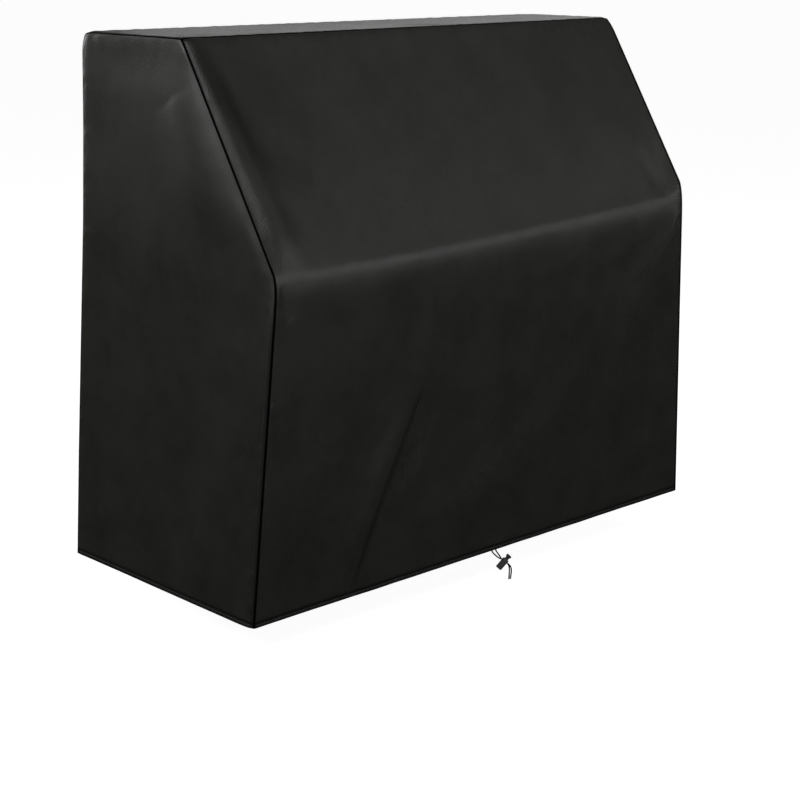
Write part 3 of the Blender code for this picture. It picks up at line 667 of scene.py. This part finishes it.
def make_strand(name, route):
    """A braided cord: a tube whose surface carries the crossing strands of its braid."""
    points, length = through([lock_place(*row) for row in route], CORD_STEP)
    sides, others = carried_frames(points)
    radius = CORD_DIAMETER / 2
    at = np.linspace(0.0, length, len(points))
    # rounded at both cut ends
    from_end = np.minimum(at, length - at) / (radius * CUT_ROUND)
    taper = np.sqrt(np.clip(1.0 - (1.0 - np.clip(from_end, 0.0, 1.0)) ** 2, CUT_LEAST, 1.0))
    verts, uvs = [], []
    for k, point in enumerate(points):
        for angle in np.arange(CORD_SIDES) * TURN / CORD_SIDES:
            turn = TURN * at[k] / BRAID_PITCH
            over = max(math.sin(BRAID_STRANDS * angle + turn), math.sin(BRAID_STRANDS * angle - turn))
            lift = BRAID_DEPTH * (over - BRAID_MIDDLE)
            spoke = sides[k] * math.cos(angle) + others[k] * math.sin(angle)
            verts.append(point + spoke * (radius + lift) * taper[k])
            uvs.append((at[k], angle * radius))
    faces = tube_faces(len(points), CORD_SIDES)
    strand = new_object(name.replace("drawcord", "braided"), verts, faces, CORD_FINISH, {"cloth": uvs})
    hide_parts(name)
    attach(strand, "cover")
    return strand, points, length


strands = {name: make_strand(name, route) for name, route in CORD_ROUTES.items()}

# ---- Cord lock ----
LOCK_CENTRE = (31.4, -28.8, 0.0)
LOCK_AXIS = (0.640, 0.768)
LOCK_SIDES = 96
BARREL_RADIUS = 8.0
BARREL_TOP = 6.2
BARREL_FLOOR = -22.8
BORE_RADIUS = 5.9
BORE_FLOOR = BARREL_FLOOR + 2.5
HOLE_ACROSS = 8.4
HOLE_TALL = 4.5
RIBS = 24
RIB_DEPTH = 0.28
STEM_RADIUS = 4.7
STEM_LOW = -7.5
NECK_TALL = 7.0
KNOB_RADIUS = 6.8
KNOB_TALL = 5.6
BUTTON_WINDOW = (-2.15, 7.15)
# groove round the barrel's foot: (height above the floor, depth); dish in the knob: (radius, depth)
FOOT_GROOVE = ((2.2, 0.0), (2.7, 0.0), (3.0, 0.35), (3.5, 0.35), (3.8, 0.0))
KNOB_DISH = ((KNOB_RADIUS - 2.2, 0.05), (KNOB_RADIUS - 3.2, 0.35), (2.0, 0.65), (0.4, 0.75))
ROUND_STEPS = 5
HOLE_STEPS = 12
HOLE_END = 0.9
SHARP_ANGLE = 38.0


def lock_axes():
    axis = LOCK_SIDEWAYS * LOCK_AXIS[0] + UPWARD * LOCK_AXIS[1]
    axis = axis / np.linalg.norm(axis)
    across = np.cross(LOCK_OUTWARD, axis)
    return axis, across / np.linalg.norm(across), LOCK_OUTWARD


def turned_mesh(name, outline, material, ribbed=(0.0, 0.0)):
    """Solid of revolution round the lock's axis; outline rows are (radius, place) in millimetres."""
    axis, across, beside = lock_axes()
    centre = lock_place(*LOCK_CENTRE)
    verts = []
    for radius, place in outline:
        for k in range(LOCK_SIDES):
            angle = TURN * (k + 0.5) / LOCK_SIDES
            reach = radius
            if ribbed[0] < place < ribbed[1] and radius > BORE_RADIUS + 0.5:
                reach -= RIB_DEPTH * (0.5 - 0.5 * math.cos(RIBS * angle)) ** 2
            spoke = across * math.cos(angle) + beside * math.sin(angle)
            verts.append(centre + (axis * place + spoke * reach) * MM)
    return new_object(name, verts, tube_faces(len(outline), LOCK_SIDES), material, sharp=SHARP_ANGLE)


def rounded(radius, place, edge, towards):
    """Points of a quarter round at a corner: towards is +1 where the outline then goes up, -1 down."""
    points = []
    for k in range(ROUND_STEPS + 1):
        angle = math.pi / 2 * k / ROUND_STEPS
        up = towards * edge * (1 - math.cos(angle))
        points.append((radius - edge + edge * math.sin(angle), place + up))
    return points


def cut_hole(thing, low, high, width):
    """Cuts the cords' way through, a slot with rounded ends, and applies it."""
    axis, across, beside = lock_axes()
    centre = lock_place(*LOCK_CENTRE)
    middle, half_tall = (low + high) / 2, (high - low) / 2
    end = half_tall * HOLE_END
    outline = []
    for sign in (1, -1):
        for k in range(HOLE_STEPS + 1):
            angle = math.pi * (k / HOLE_STEPS - 0.5)
            reach = width / 2 - end + end * math.cos(angle)
            outline.append((middle + half_tall * math.sin(angle) * sign, sign * reach))
    ends = (-2 * BARREL_RADIUS, 2 * BARREL_RADIUS)
    verts = [centre + (axis * a + across * side + beside * b) * MM for side in ends for a, b in outline]
    cutter = new_object("cutter", verts, tube_faces(2, len(outline)), thing.data.materials[0])
    boolean = thing.modifiers.new("hole", "BOOLEAN")
    boolean.operation, boolean.solver, boolean.object = "DIFFERENCE", "EXACT", cutter
    graph = bpy.context.evaluated_depsgraph_get()
    made = bpy.data.meshes.new_from_object(thing.evaluated_get(graph))
    thing.modifiers.clear()
    thing.data = made
    made.shade_smooth()
    made.set_sharp_from_angle(angle=math.radians(SHARP_ANGLE))
    bpy.data.objects.remove(cutter)


def make_lock():
    top, floor = BARREL_TOP, BARREL_FLOOR
    outline = [(0.5, floor), *rounded(BARREL_RADIUS, floor, 1.2, 1)]
    outline += [(BARREL_RADIUS - depth, floor + up) for up, depth in FOOT_GROOVE]
    outline += [(BARREL_RADIUS, place) for place in np.linspace(floor + 4.4, -4.2, 8)]
    outline += [(BARREL_RADIUS, place) for place in (-3.6, 0.0, 3.2, top - 2.0)]
    outline += rounded(BARREL_RADIUS, top, 0.7, -1)[::-1]
    outline += [(BORE_RADIUS + 0.4, top), (BORE_RADIUS, top - 0.4)]
    outline += [(BORE_RADIUS, BORE_FLOOR), (0.5, BORE_FLOOR)]
    barrel = turned_mesh("lock_barrel", outline, BARREL_FINISH, ribbed=(floor + 4.0, -4.0))
    cut_hole(barrel, -HOLE_TALL / 2, HOLE_TALL / 2, HOLE_ACROSS)
    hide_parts("cord_lock_barrel")
    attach(barrel, "cover")

    base = top + NECK_TALL
    crown = base + KNOB_TALL
    outline = [(0.4, STEM_LOW), *rounded(STEM_RADIUS + 0.9, STEM_LOW, 0.5, 1)]
    outline += [(STEM_RADIUS + 0.9, top - 1.6), (STEM_RADIUS, top - 0.6), (STEM_RADIUS, base - 0.6)]
    outline += [(STEM_RADIUS + 0.25, base - 0.2), (STEM_RADIUS + 0.7, base)]
    outline += rounded(KNOB_RADIUS, base, 0.7, 1)
    outline += [(KNOB_RADIUS, base + up) for up in (1.6, 2.4, 3.2)]
    outline += rounded(KNOB_RADIUS, crown, 1.4, -1)[::-1]
    outline += [(radius, crown - depth) for radius, depth in KNOB_DISH]
    button = turned_mesh("lock_button", outline, BUTTON_FINISH)
    cut_hole(button, *BUTTON_WINDOW, HOLE_ACROSS)
    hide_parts("cord_lock_button")
    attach(button, "button")
    return barrel, button


barrel, button = make_lock()


# ---- Cloth panels ----
RANDOM = np.random.default_rng(20)


def waves(count, shortest, longest, generator):
    """A gentle uneven surface: random plane waves, the longer ones taller, about 1 high in all."""
    lengths = np.exp(generator.uniform(math.log(shortest), math.log(longest), count))
    angles = generator.uniform(0.0, TURN, count)
    phases = generator.uniform(0.0, TURN, count)
    heights = lengths / lengths.sum()

    def at(p, q):
        total = np.zeros_like(p)
        for length, angle, phase, height in zip(lengths, angles, phases, heights):
            total += height * np.sin(TURN * (p * math.cos(angle) + q * math.sin(angle)) / length + phase)
        return total * 2.0

    return at


def line_waves(count, shortest, longest, generator):
    lengths = np.exp(generator.uniform(math.log(shortest), math.log(longest), count))
    phases = generator.uniform(0.0, TURN, count)

    def at(s):
        total = sum(np.sin(TURN * s / length + phase) for length, phase in zip(lengths, phases))
        return total / math.sqrt(count)

    return at


def seam_profile(half_angle):
    """Outer and inner faces across a seam, as (inset, depth) rows from flat cloth to the turned-in edge."""
    inset = (BEND_RADIUS + SEAM_GAP / 2 + BEND_RADIUS * math.cos(half_angle)) / math.sin(half_angle)
    faces = []
    for radius in (BEND_RADIUS, BEND_RADIUS - CLOTH):
        turns = [(math.pi - half_angle) * k / BEND_STEPS for k in range(BEND_STEPS + 1)]
        faces.append([(inset - radius * math.sin(t), BEND_RADIUS - radius * math.cos(t)) for t in turns])
    drop = TURNED_IN - faces[0][-1][1]
    for face in faces:
        last_inset, last_depth = face[-1]
        face.append((last_inset + drop / math.tan(half_angle), last_depth + drop))
    return faces


def mitre(direction0, inset0, direction1, inset1):
    """The move that lies inset0 in from one edge and inset1 in from the other."""
    cosine = direction0 @ direction1
    weight0 = (inset0 - inset1 * cosine) / (1.0 - cosine * cosine)
    weight1 = (inset1 - inset0 * cosine) / (1.0 - cosine * cosine)
    return direction0 * weight0 + direction1 * weight1


def seam_point(base, edges, inward, ring, face):
    """A point of the seam's lobe, or of two lobes where they meet at a corner."""
    depth = sum(profile[face][ring][1] for _, profile in edges) / len(edges)
    if len(edges) == 1:
        direction, profile = edges[0]
        return base + direction * profile[face][ring][0] + inward * depth
    (direction0, profile0), (direction1, profile1) = edges
    move = mitre(
        direction0, profile0[face][ring][0] + CORNER_EASE, direction1, profile1[face][ring][0] + CORNER_EASE
    )
    return base + move + inward * depth


Row = namedtuple("Row", "left right left_in right_in inward place")
OUTER_SHARE = 0.78
BAKE_MARGIN = 0.004
SIDES = {"left": -1, "right": 1}


def nearest_seam(*distances):
    return np.minimum.reduce([away for away in distances if away is not None])


def build_panel(name, kind, rows, shares, top_in, top_half, bottom_in=None, bottom_half=None):
    """One cloth panel as a closed thin shell on a fine grid, with its UV maps."""
    side = seam_profile(math.radians(45.0))
    top = seam_profile(top_half)
    bottom = seam_profile(bottom_half) if bottom_half else None
    last, steps = len(rows) - 1, len(shares) - 1
    rings = BEND_STEPS + 1

    def rim_edges(j, side_direction):
        edges = [(side_direction, side)]
        if j == last:
            edges.append((top_in, top))
        if j == 0 and bottom:
            edges.append((bottom_in, bottom))
        return edges

    shares = np.array(shares)
    flat = []
    for j, row in enumerate(rows):
        left = seam_point(row.left, rim_edges(j, row.left_in), row.inward, 0, 0)
        right = seam_point(row.right, rim_edges(j, row.right_in), row.inward, 0, 0)
        flat.append(left + (right - left) * shares[:, None])
    flat = np.array(flat)
    inward = np.array([row.inward for row in rows])[:, None, :]
    places = np.array([row.place for row in rows])
    widths = np.linalg.norm(flat[:, -1] - flat[:, 0], axis=1)
    across = widths[:, None] * shares[None, :]
    up = np.repeat(places[:, None], steps + 1, axis=1)
    from_left, from_right = across, widths[:, None] - across
    from_top = places[-1] - up
    from_bottom = up - places[0] if bottom else None
    lifted = relief(kind, flat, up, from_left, from_right, from_top, from_bottom)
    outer = flat - inward * lifted[..., None]
    thick = np.full(lifted.shape, CLOTH)
    if not bottom:
        at_hem = 1.0 - smooth(*HEM_STEP, up)
        thick += (HEM_THICK - CLOTH) * at_hem * smooth(*HEM_START, np.minimum(from_left, from_right))
        thick += np.clip(lifted, 0.0, None) * at_hem
    inner = outer + inward * thick[..., None]

    count = (last + 1) * (steps + 1)
    points = [outer.reshape(-1, 3), inner.reshape(-1, 3)]
    cloth_uv = [np.stack((across - widths[:, None] / 2, up), axis=-1).reshape(-1, 2)] * 2
    grid = np.arange(count).reshape(last + 1, steps + 1)
    index = {("grid", 0): grid, ("grid", 1): grid + count}

    def station(i, j):
        row = rows[j]
        upward = float((j == last) - (j == 0 and bool(bottom)))
        if i == 0:
            return row.left, rim_edges(j, row.left_in), (-1.0, upward)
        if i == steps:
            return row.right, rim_edges(j, row.right_in), (1.0, upward)
        direction, profile = (top_in, top) if j == last else (bottom_in, bottom)
        return flat[j, i] - direction * profile[0][0][0], [(direction, profile)], (0.0, upward)

    rim = [(0, j) for j in range(last)] + [(i, last) for i in range(steps)]
    rim += [(steps, j) for j in range(last, 0, -1)]
    rim += [(i, 0) for i in range(steps, 0, -1)] if bottom else [(steps, 0)]
    ring_points, ring_uv, ring_index = [], [], {}
    for i, j in rim:
        base, edges, outward = station(i, j)
        for face in (0, 1):
            ring_index[face, i, j, 0] = int(index["grid", face][j, i])
            run = 0.0
            before = np.array(edges[0][1][face][0])
            for ring in range(1, rings + 1):
                here = np.array(edges[0][1][face][ring])
                run += float(np.linalg.norm(here - before))
                before = here
                ring_index[face, i, j, ring] = 2 * count + len(ring_points)
                ring_points.append(seam_point(base, edges, rows[j].inward, ring, face))
                ring_uv.append((across[j, i] - widths[j] / 2 + outward[0] * run, up[j, i] + outward[1] * run))
    points = np.concatenate((*points, np.array(ring_points)))
    cloth_uv = np.concatenate((*cloth_uv, np.array(ring_uv)))

    faces = []
    for face in (0, 1):
        g = index["grid", face]
        quads = np.stack((g[:-1, :-1], g[:-1, 1:], g[1:, 1:], g[1:, :-1]), axis=-1).reshape(-1, 4)
        faces += quads.tolist()
    pairs = list(zip(rim, rim[1:])) + ([(rim[-1], rim[0])] if bottom else [])
    for start, end in pairs:
        for face in (0, 1):
            for ring in range(rings):
                faces.append((
                    ring_index[face, *start, ring], ring_index[face, *end, ring],
                    ring_index[face, *end, ring + 1], ring_index[face, *start, ring + 1],
                ))
        around = ((0, start), (0, end), (1, end), (1, start))
        faces.append([ring_index[face, *place, rings] for face, place in around])
    if not bottom:
        hem = []
        for face in (0, 1):
            left = [ring_index[face, 0, 0, ring] for ring in range(rings, 0, -1)]
            right = [ring_index[face, steps, 0, ring] for ring in range(1, rings + 1)]
            hem.append([*left, *index["grid", face][0].tolist(), *right])
        faces += zip(hem[0], hem[0][1:], hem[1][1:], hem[1])

    # painted shade as shares of full black: the seams' recesses, the hem's groove and edge, the front's right
    # edge, its crease and slope hollow, and the sides by their front seam below the knee
    shades = [1.0 - smooth(*SEAM_PAINTED_SHADE, nearest_seam(from_left, from_right, from_top, from_bottom))]
    if not bottom:
        shades.append(along(HEM_PAINTED_SHADE, up))
    if kind == "front":
        shades.append(1.0 - smooth(*RIGHT_SEAM_PAINTED_SHADE, from_right))
        shades.append(fold_sum(PAINTED_SHADE_PLACES, flat[..., 0], flat[..., 2]))
    if kind in SIDES:
        most, start, end = SIDE_SEAM_SHADE
        below_knee = 1.0 - smooth(*SLOPE_BLEND[kind], flat[..., 2])
        shades.append(most * below_knee * (1.0 - smooth(start, end, from_right)))
    # the turned-in lobes of every seam are fully in painted shade
    painted_shade = np.ones(len(points))
    painted_shade[:count] = painted_shade[count:2 * count] = np.max(shades, axis=0).reshape(-1)

    maps = {"cloth": cloth_uv, "OFBake": bake_map(cloth_uv, count, ring_index)}
    thing = new_object(name, placed(points), faces, CLOTH_FINISH, maps)
    thing.data.attributes.new("painted_shade", "FLOAT", "POINT").data.foreach_set("value", painted_shade)
    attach(thing, "cover")
    return thing


def bake_map(cloth_uv, count, ring_index):
    """The outer face fills most of the square, the inner face a strip above it."""
    low, high = cloth_uv.min(axis=0), cloth_uv.max(axis=0)
    share = (cloth_uv - low) / (high - low)
    inner = np.zeros(len(cloth_uv), bool)
    inner[count:2 * count] = True
    inner[[at for (face, _, _, ring), at in ring_index.items() if ring and face]] = True
    edge = BAKE_MARGIN
    above = OUTER_SHARE + 2 * edge + (1.0 - 3 * edge - OUTER_SHARE) * share[:, 1]
    below = edge + (OUTER_SHARE - 2 * edge) * share[:, 1]
    return np.stack((edge + (1.0 - 2 * edge) * share[:, 0], np.where(inner, above, below)), axis=1)


# number of waves, shortest and longest
RIPPLE_WAVES = (14, 0.09, 0.42)
PUCKER_WAVES = (5, 0.026, 0.075)
RIPPLES = {
    kind: (waves(*RIPPLE_WAVES, RANDOM), [line_waves(*PUCKER_WAVES, RANDOM) for _ in range(4)])
    for kind in ("front", "back", "left", "right", "top")
}


def seam_roll(roll, away):
    """The cloth rises out of the seam to a low crest and settles again."""
    t = away / roll.reach
    return roll.rise * t * np.exp(1.0 - t)


def between(pair, share):
    return pair[0] + (pair[1] - pair[0]) * share


def slope_edge(away, z):
    """The slope rises steeply from its left seam to a crest, then falls into the hollow near the top."""
    up_slope = np.clip((z - KNEE_HEIGHT) / (HEIGHT - KNEE_HEIGHT), 0.0, 1.0)
    reach = between(EDGE_REACH, up_slope)
    kept = between(EDGE_KEPT, np.sqrt(up_slope)) * (1.0 - smooth(*EDGE_FADE, away))
    t = away / reach
    bump = (t * np.exp(0.5 - 0.5 * t * t)) ** between(EDGE_BEND, up_slope)
    bump = np.where(t > 1.0, bump + (1.0 - bump) * kept, bump)
    return between(EDGE_SLOPE, up_slope) * math.exp(-0.5) * reach * bump


def seam_turn(roll, away):
    """The cloth stands off the plain panel and turns down into the seam."""
    return roll.rise * (1.0 - np.exp(-away / roll.reach))


def relief(kind, flat, up, from_left, from_right, from_top, from_bottom):
    """How far the hung cloth stands out of the plain panel: small folds, rolls and puckers by the seams."""
    x, y, z = flat[..., 0], flat[..., 1], flat[..., 2]
    p, q = {"front": (x, z), "back": (x, z), "left": (y, z), "right": (y, z), "top": (x, y)}[kind]
    nearest = nearest_seam(from_left, from_right, from_top, from_bottom)
    ripple, puckers = RIPPLES[kind]
    rise = fold_sum(FINE_FOLDS[kind], p, q) * smooth(*FOLD_START, nearest)
    rise += RIPPLE_RISE * ripple(p, q) * smooth(*RIPPLE_START, nearest)
    seams = [(from_left, q), (from_right, q), (from_top, p)]
    if from_bottom is not None:
        seams.append((from_bottom, p))
    on_slope = smooth(*SLOPE_BLEND[kind], z) if kind in SLOPE_BLEND else 0.0
    roll = np.zeros_like(x)
    for k, (away, run) in enumerate(seams):
        if kind == "front" and k == 0:
            part = slope_edge(away, z) * on_slope + seam_roll(LOWER_EDGE_ROLL, away) * (1.0 - on_slope)
        elif kind == "front" and k == 1:
            part = seam_roll(LOWER_EDGE_ROLL, away)
        else:
            part = seam_roll(PLAIN_ROLL, away)
        roll = np.maximum(roll, part)
        rise += PUCKER_RISE * puckers[k](run) * np.exp(-away / PUCKER_REACH) * smooth(*PUCKER_START, away)
    rise += roll * smooth(*ROLL_START, nearest)
    if kind in SIDES:
        turned = seam_turn(SIDE_SLOPE_TURN, from_right) * on_slope
        turned += seam_turn(SIDE_LOWER_TURN, from_right) * (1.0 - on_slope)
        rise += turned * smooth(*SIDE_TURN_START, from_left) * smooth(*SIDE_TURN_TOP, from_top)
    if from_bottom is None:
        t = np.clip(up / STITCH_PLACE, 0.0, 1.0)
        bulge = HEM_BULGE * np.sqrt(np.clip(1.0 - (2.0 * t - 1.0) ** 2, 0.0, 1.0)) * (t < 1.0)
        groove = STITCH_GROOVE * np.exp(-(((up - STITCH_PLACE) / GROOVE_REACH) ** 2))
        rise += (bulge - groove) * smooth(*HEM_START, np.minimum(from_left, from_right))
    return rise


def spread(start, end, step):
    count = max(1, round((end - start) / step))
    return [start + (end - start) * k / count for k in range(1, count + 1)]


def front_places():
    places = list(HEM_PLACES)
    places += spread(places[-1], KNEE_START, GRID_STEP)
    places += spread(KNEE_START, KNEE_START + KNEE_ARC, KNEE_STEP)
    places += spread(places[-1], FRONT_LENGTH - EDGE_PLACES[-1], GRID_STEP)
    places += [FRONT_LENGTH - away for away in reversed(EDGE_PLACES[:-1])]
    return places


def across_shares(length, step, fine=None):
    """Places across a row, closer together by the seams and, if fine is (start, end, step), between those."""
    near = [away / length for away in EDGE_PLACES]
    stops = [(1.0 - near[-1], step / length)]
    if fine:
        start, end, fine_step = fine
        stops = [(start, step / length), (end, fine_step / length), *stops]
    shares = list(near)
    for stop, share_step in stops:
        shares += spread(shares[-1], stop, share_step)
    return shares + [1.0 - share for share in reversed(near[:-1])]


def at_x(point, x):
    return np.array((x, point[1], point[2]))


X_AXIS, Y_AXIS = np.array((1.0, 0.0, 0.0)), np.array((0.0, 1.0, 0.0))
BACK_IN = np.array((0.0, -HEIGHT, -BACK_HEM_KICK)) / math.hypot(HEIGHT, BACK_HEM_KICK)


def upright_rows(kind):
    """Rows of the front, the back or a side from the hem to the top."""
    rows = []
    for place in front_places():
        front, inward = front_path(place)
        back = np.array((0.0, float(back_y(front[2])), front[2]))
        if kind in SIDES:
            sign = SIDES[kind]
            x = sign * WIDTH / 2
            rows.append(Row(at_x(back, x), at_x(front, x), BACK_IN, inward, -sign * X_AXIS, front[2]))
            continue
        point, facing, up = (front, inward, place) if kind == "front" else (back, BACK_IN, front[2])
        rows.append(Row(at_x(point, -WIDTH / 2), at_x(point, WIDTH / 2), X_AXIS, -X_AXIS, facing, up))
    return rows


def top_rows():
    rows = []
    for share in across_shares(TOP_DEPTH, GRID_STEP):
        y = -TOP_DEPTH * share
        left, right = np.array((-WIDTH / 2, y, HEIGHT)), np.array((WIDTH / 2, y, HEIGHT))
        rows.append(Row(left, right, X_AXIS, -X_AXIS, -UPWARD, TOP_DEPTH * share))
    return rows


def make_cover():
    back_lean = math.atan2(BACK_HEM_KICK, HEIGHT)
    front_half = (math.pi / 2 + SLOPE_LEAN) / 2
    back_half = (math.pi / 2 + back_lean) / 2
    down_slope = np.array((0.0, -math.sin(SLOPE_LEAN), -math.cos(SLOPE_LEAN)))
    down_back = np.array((0.0, math.sin(back_lean), -math.cos(back_lean)))
    crease = np.array(FRONT_FOLDS[0].route)[:, 0] / WIDTH + 0.5
    finer = (crease.min() - CREASE_MARGIN, crease.max() + CREASE_MARGIN, CREASE_STEP)
    wide = across_shares(WIDTH, GRID_STEP, finer)
    wide_back = across_shares(WIDTH, BACK_GRID_STEP)
    deep = across_shares(KNEE_DEPTH, GRID_STEP)
    panels = {}
    for kind, node, shares, edges in (
        ("front", "front_panel", wide, (down_slope, front_half)),
        ("back", "back_panel", wide_back, (down_back, back_half)),
        ("left", "left_side_panel", deep, (-UPWARD, math.pi / 4)),
        ("right", "right_side_panel", deep, (-UPWARD, math.pi / 4)),
        ("top", "top_panel", wide, (Y_AXIS, front_half, -Y_AXIS, back_half)),
    ):
        rows = top_rows() if kind == "top" else upright_rows(kind)
        panels[node] = build_panel(node.replace("panel", "cloth"), kind, rows, shares, *edges)
        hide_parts(node)
    return panels


panels = make_cover()

# ---- Hem stitching: one thread piece for each panel's hem ----
STITCH_LONG = 0.0034
STITCH_PITCH = 0.0044
STITCH_RADIUS = 0.00032
STITCH_SIDES = 6
STITCH_BEND = (-1.0, -0.55, 0.0, 0.55, 1.0)
STITCH_DIP = 0.0008
STITCH_THIN = 0.35
STITCH_SUNK = STITCH_GROOVE - 0.0002
HEM_ENDS = 0.024


def stitch_mesh(name, kind):
    """Short threads laid along the hem, each a small tube that dips into the cloth at both ends."""
    row = min(upright_rows(kind), key=lambda row: abs(row.place - STITCH_PLACE))
    length = float(np.linalg.norm(row.right - row.left))
    count = int((length - HEM_ENDS) / STITCH_PITCH)
    start = (length - count * STITCH_PITCH) / 2
    direction = (row.right - row.left) / length
    verts, faces = [], []
    for k in range(count):
        middle = row.left + direction * (start + (k + 0.5) * STITCH_PITCH)
        faces += tube_faces(len(STITCH_BEND), STITCH_SIDES, len(verts))
        for t in STITCH_BEND:
            sunk = STITCH_SUNK + STITCH_DIP * t * t
            centre = middle + direction * t * STITCH_LONG / 2 + row.inward * sunk
            thin = STITCH_RADIUS * (1.0 - STITCH_THIN * t * t)
            for s in range(STITCH_SIDES):
                angle = TURN * s / STITCH_SIDES
                verts.append(centre + (UPWARD * math.cos(angle) - row.inward * math.sin(angle)) * thin)
    thing = new_object(name, placed(np.array(verts)), faces, THREAD_FINISH)
    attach(thing, "cover")
    return thing


stitching = {
    node: stitch_mesh(f"{node.split('_')[0]}_hem_stitching", node.split("_")[0])
    for node in panels if node != "top_panel"
}

# ---- Floor and light ----
FLOOR_BELOW = 0.004
FLOOR_FLAT = 14.0
FLOOR_CURVE = 10.0
FLOOR_STEPS = 16
FLOOR_SIDES = 96
BACKDROP_TALL = 50.0
FLOOR_GLOW = 0.94


def make_floor():
    """A pale floor that rises far off into a backdrop, and neither lights the cloth nor mirrors in it."""
    low = cad_box[0].z - FLOOR_BELOW
    mesh = bmesh.new()
    outline = [(0.0, 0.0), (FLOOR_FLAT, 0.0)]
    for step in range(1, FLOOR_STEPS + 1):
        turn = math.pi / 2 * step / FLOOR_STEPS
        outline.append((FLOOR_FLAT + FLOOR_CURVE * math.sin(turn), FLOOR_CURVE * (1.0 - math.cos(turn))))
    outline.append((FLOOR_FLAT + FLOOR_CURVE, BACKDROP_TALL))
    points = [mesh.verts.new((out, 0.0, low + up)) for out, up in outline]
    edges = [mesh.edges.new(pair) for pair in zip(points, points[1:])]
    bmesh.ops.spin(
        mesh, geom=points + edges, cent=(0, 0, 0), axis=(0, 0, 1), angle=TURN, steps=FLOOR_SIDES,
        use_merge=True,
    )
    data = bpy.data.meshes.new("floor")
    mesh.to_mesh(data)
    mesh.free()
    data.shade_smooth()
    floor = add_object("floor", data)
    n = Nodes(bpy.data.materials.new("floor"))
    n.set(Base_Color=(0.5, 0.5, 0.5), Roughness=0.8, Specular_IOR_Level=0.1)
    n.set(Emission_Color=(1.0, 1.0, 1.0), Emission_Strength=FLOOR_GLOW)
    n.owner.cycles.emission_sampling = "NONE"
    data.materials.append(n.owner)
    floor.visible_glossy = floor.visible_diffuse = floor.visible_shadow = False


Light = namedtuple("Light", "name azimuth elevation width height strength")
# azimuth 0 is in front of the cover (towards -Y), 90 on its right (+X), -90 on its left
LIGHTS = (
    Light("left_back_low", -160, 6, 1.2, 0.7, 11.7),
    Light("left_low", -108, 6, 1.2, 0.7, 1.6),
    Light("left_high", -108, 28, 1.2, 1.2, 12.2),
    Light("left_floor_strip", -85, -7, 1.2, 0.7, 8.6),
    Light("front_left_high", -30, 50, 1.2, 1.2, 17.3),
    Light("front_floor_strip", 10, -7, 1.2, 0.7, 6.1),
    Light("front_low", 28, 12, 1.2, 0.7, 7.4),
    Light("right_front_high", 42, 34, 1.2, 1.2, 1.3),
    Light("right_low", 60, 12, 1.2, 0.7, 2.8),
    Light("right_floor_strip", 97, -6, 1.2, 0.7, 5.0),
    Light("right_back", 132, 14, 2.6, 0.9, 1.0),
    Light("back_floor_strip", 176, -6, 1.2, 0.7, 5.0),
)
LIGHT_AWAY = 4.5
LIGHTS_AROUND = Vector((0.0, -0.15, -0.55))
# brightness of the surroundings by height: sine of the elevation, strength
WORLD_RAMP = ((-0.12, 0.047), (-0.04, 0.0), (0.25, 0.0), (0.42, 0.128), (0.60, 0.128), (0.85, 0.0))


def make_lights():
    for row in LIGHTS:
        azimuth, elevation = math.radians(row.azimuth), math.radians(row.elevation)
        level = math.cos(elevation)
        away = Vector((math.sin(azimuth) * level, -math.cos(azimuth) * level, math.sin(elevation)))
        data = bpy.data.lights.new(row.name, "AREA")
        data.shape = "RECTANGLE"
        data.size, data.size_y = row.width, row.height
        data.energy = row.strength * row.width * row.height * math.pi
        light = add_object(row.name, data)
        light.location = LIGHTS_AROUND + away * LIGHT_AWAY
        light.rotation_mode = "QUATERNION"
        light.rotation_quaternion = (-away).to_track_quat("-Z", "Y")
        light.visible_camera = False


def make_world():
    n = Nodes(bpy.data.worlds.new("studio"), "Background")
    height = n.add("ShaderNodeSeparateXYZ", "Z", {0: n.add("ShaderNodeTexCoord", "Generated")})
    share = n.add("ShaderNodeMapRange", "Result", {"Value": height, "From Min": -1.0})
    colour = n.add("ShaderNodeValToRGB", "Color", {"Fac": share})
    ramp = colour.node.color_ramp
    ramp.interpolation = "EASE"
    while len(ramp.elements) < len(WORLD_RAMP):
        ramp.elements.new(0.5)
    for mark, (height, strength) in zip(ramp.elements, WORLD_RAMP):
        mark.position = (height + 1.0) / 2.0
        mark.color = (strength, strength, strength, 1.0)
    n.set(Color=colour)
    bpy.context.scene.world = n.owner
    bpy.context.scene.view_settings.view_transform = "Standard"


make_floor()
make_lights()
make_world()
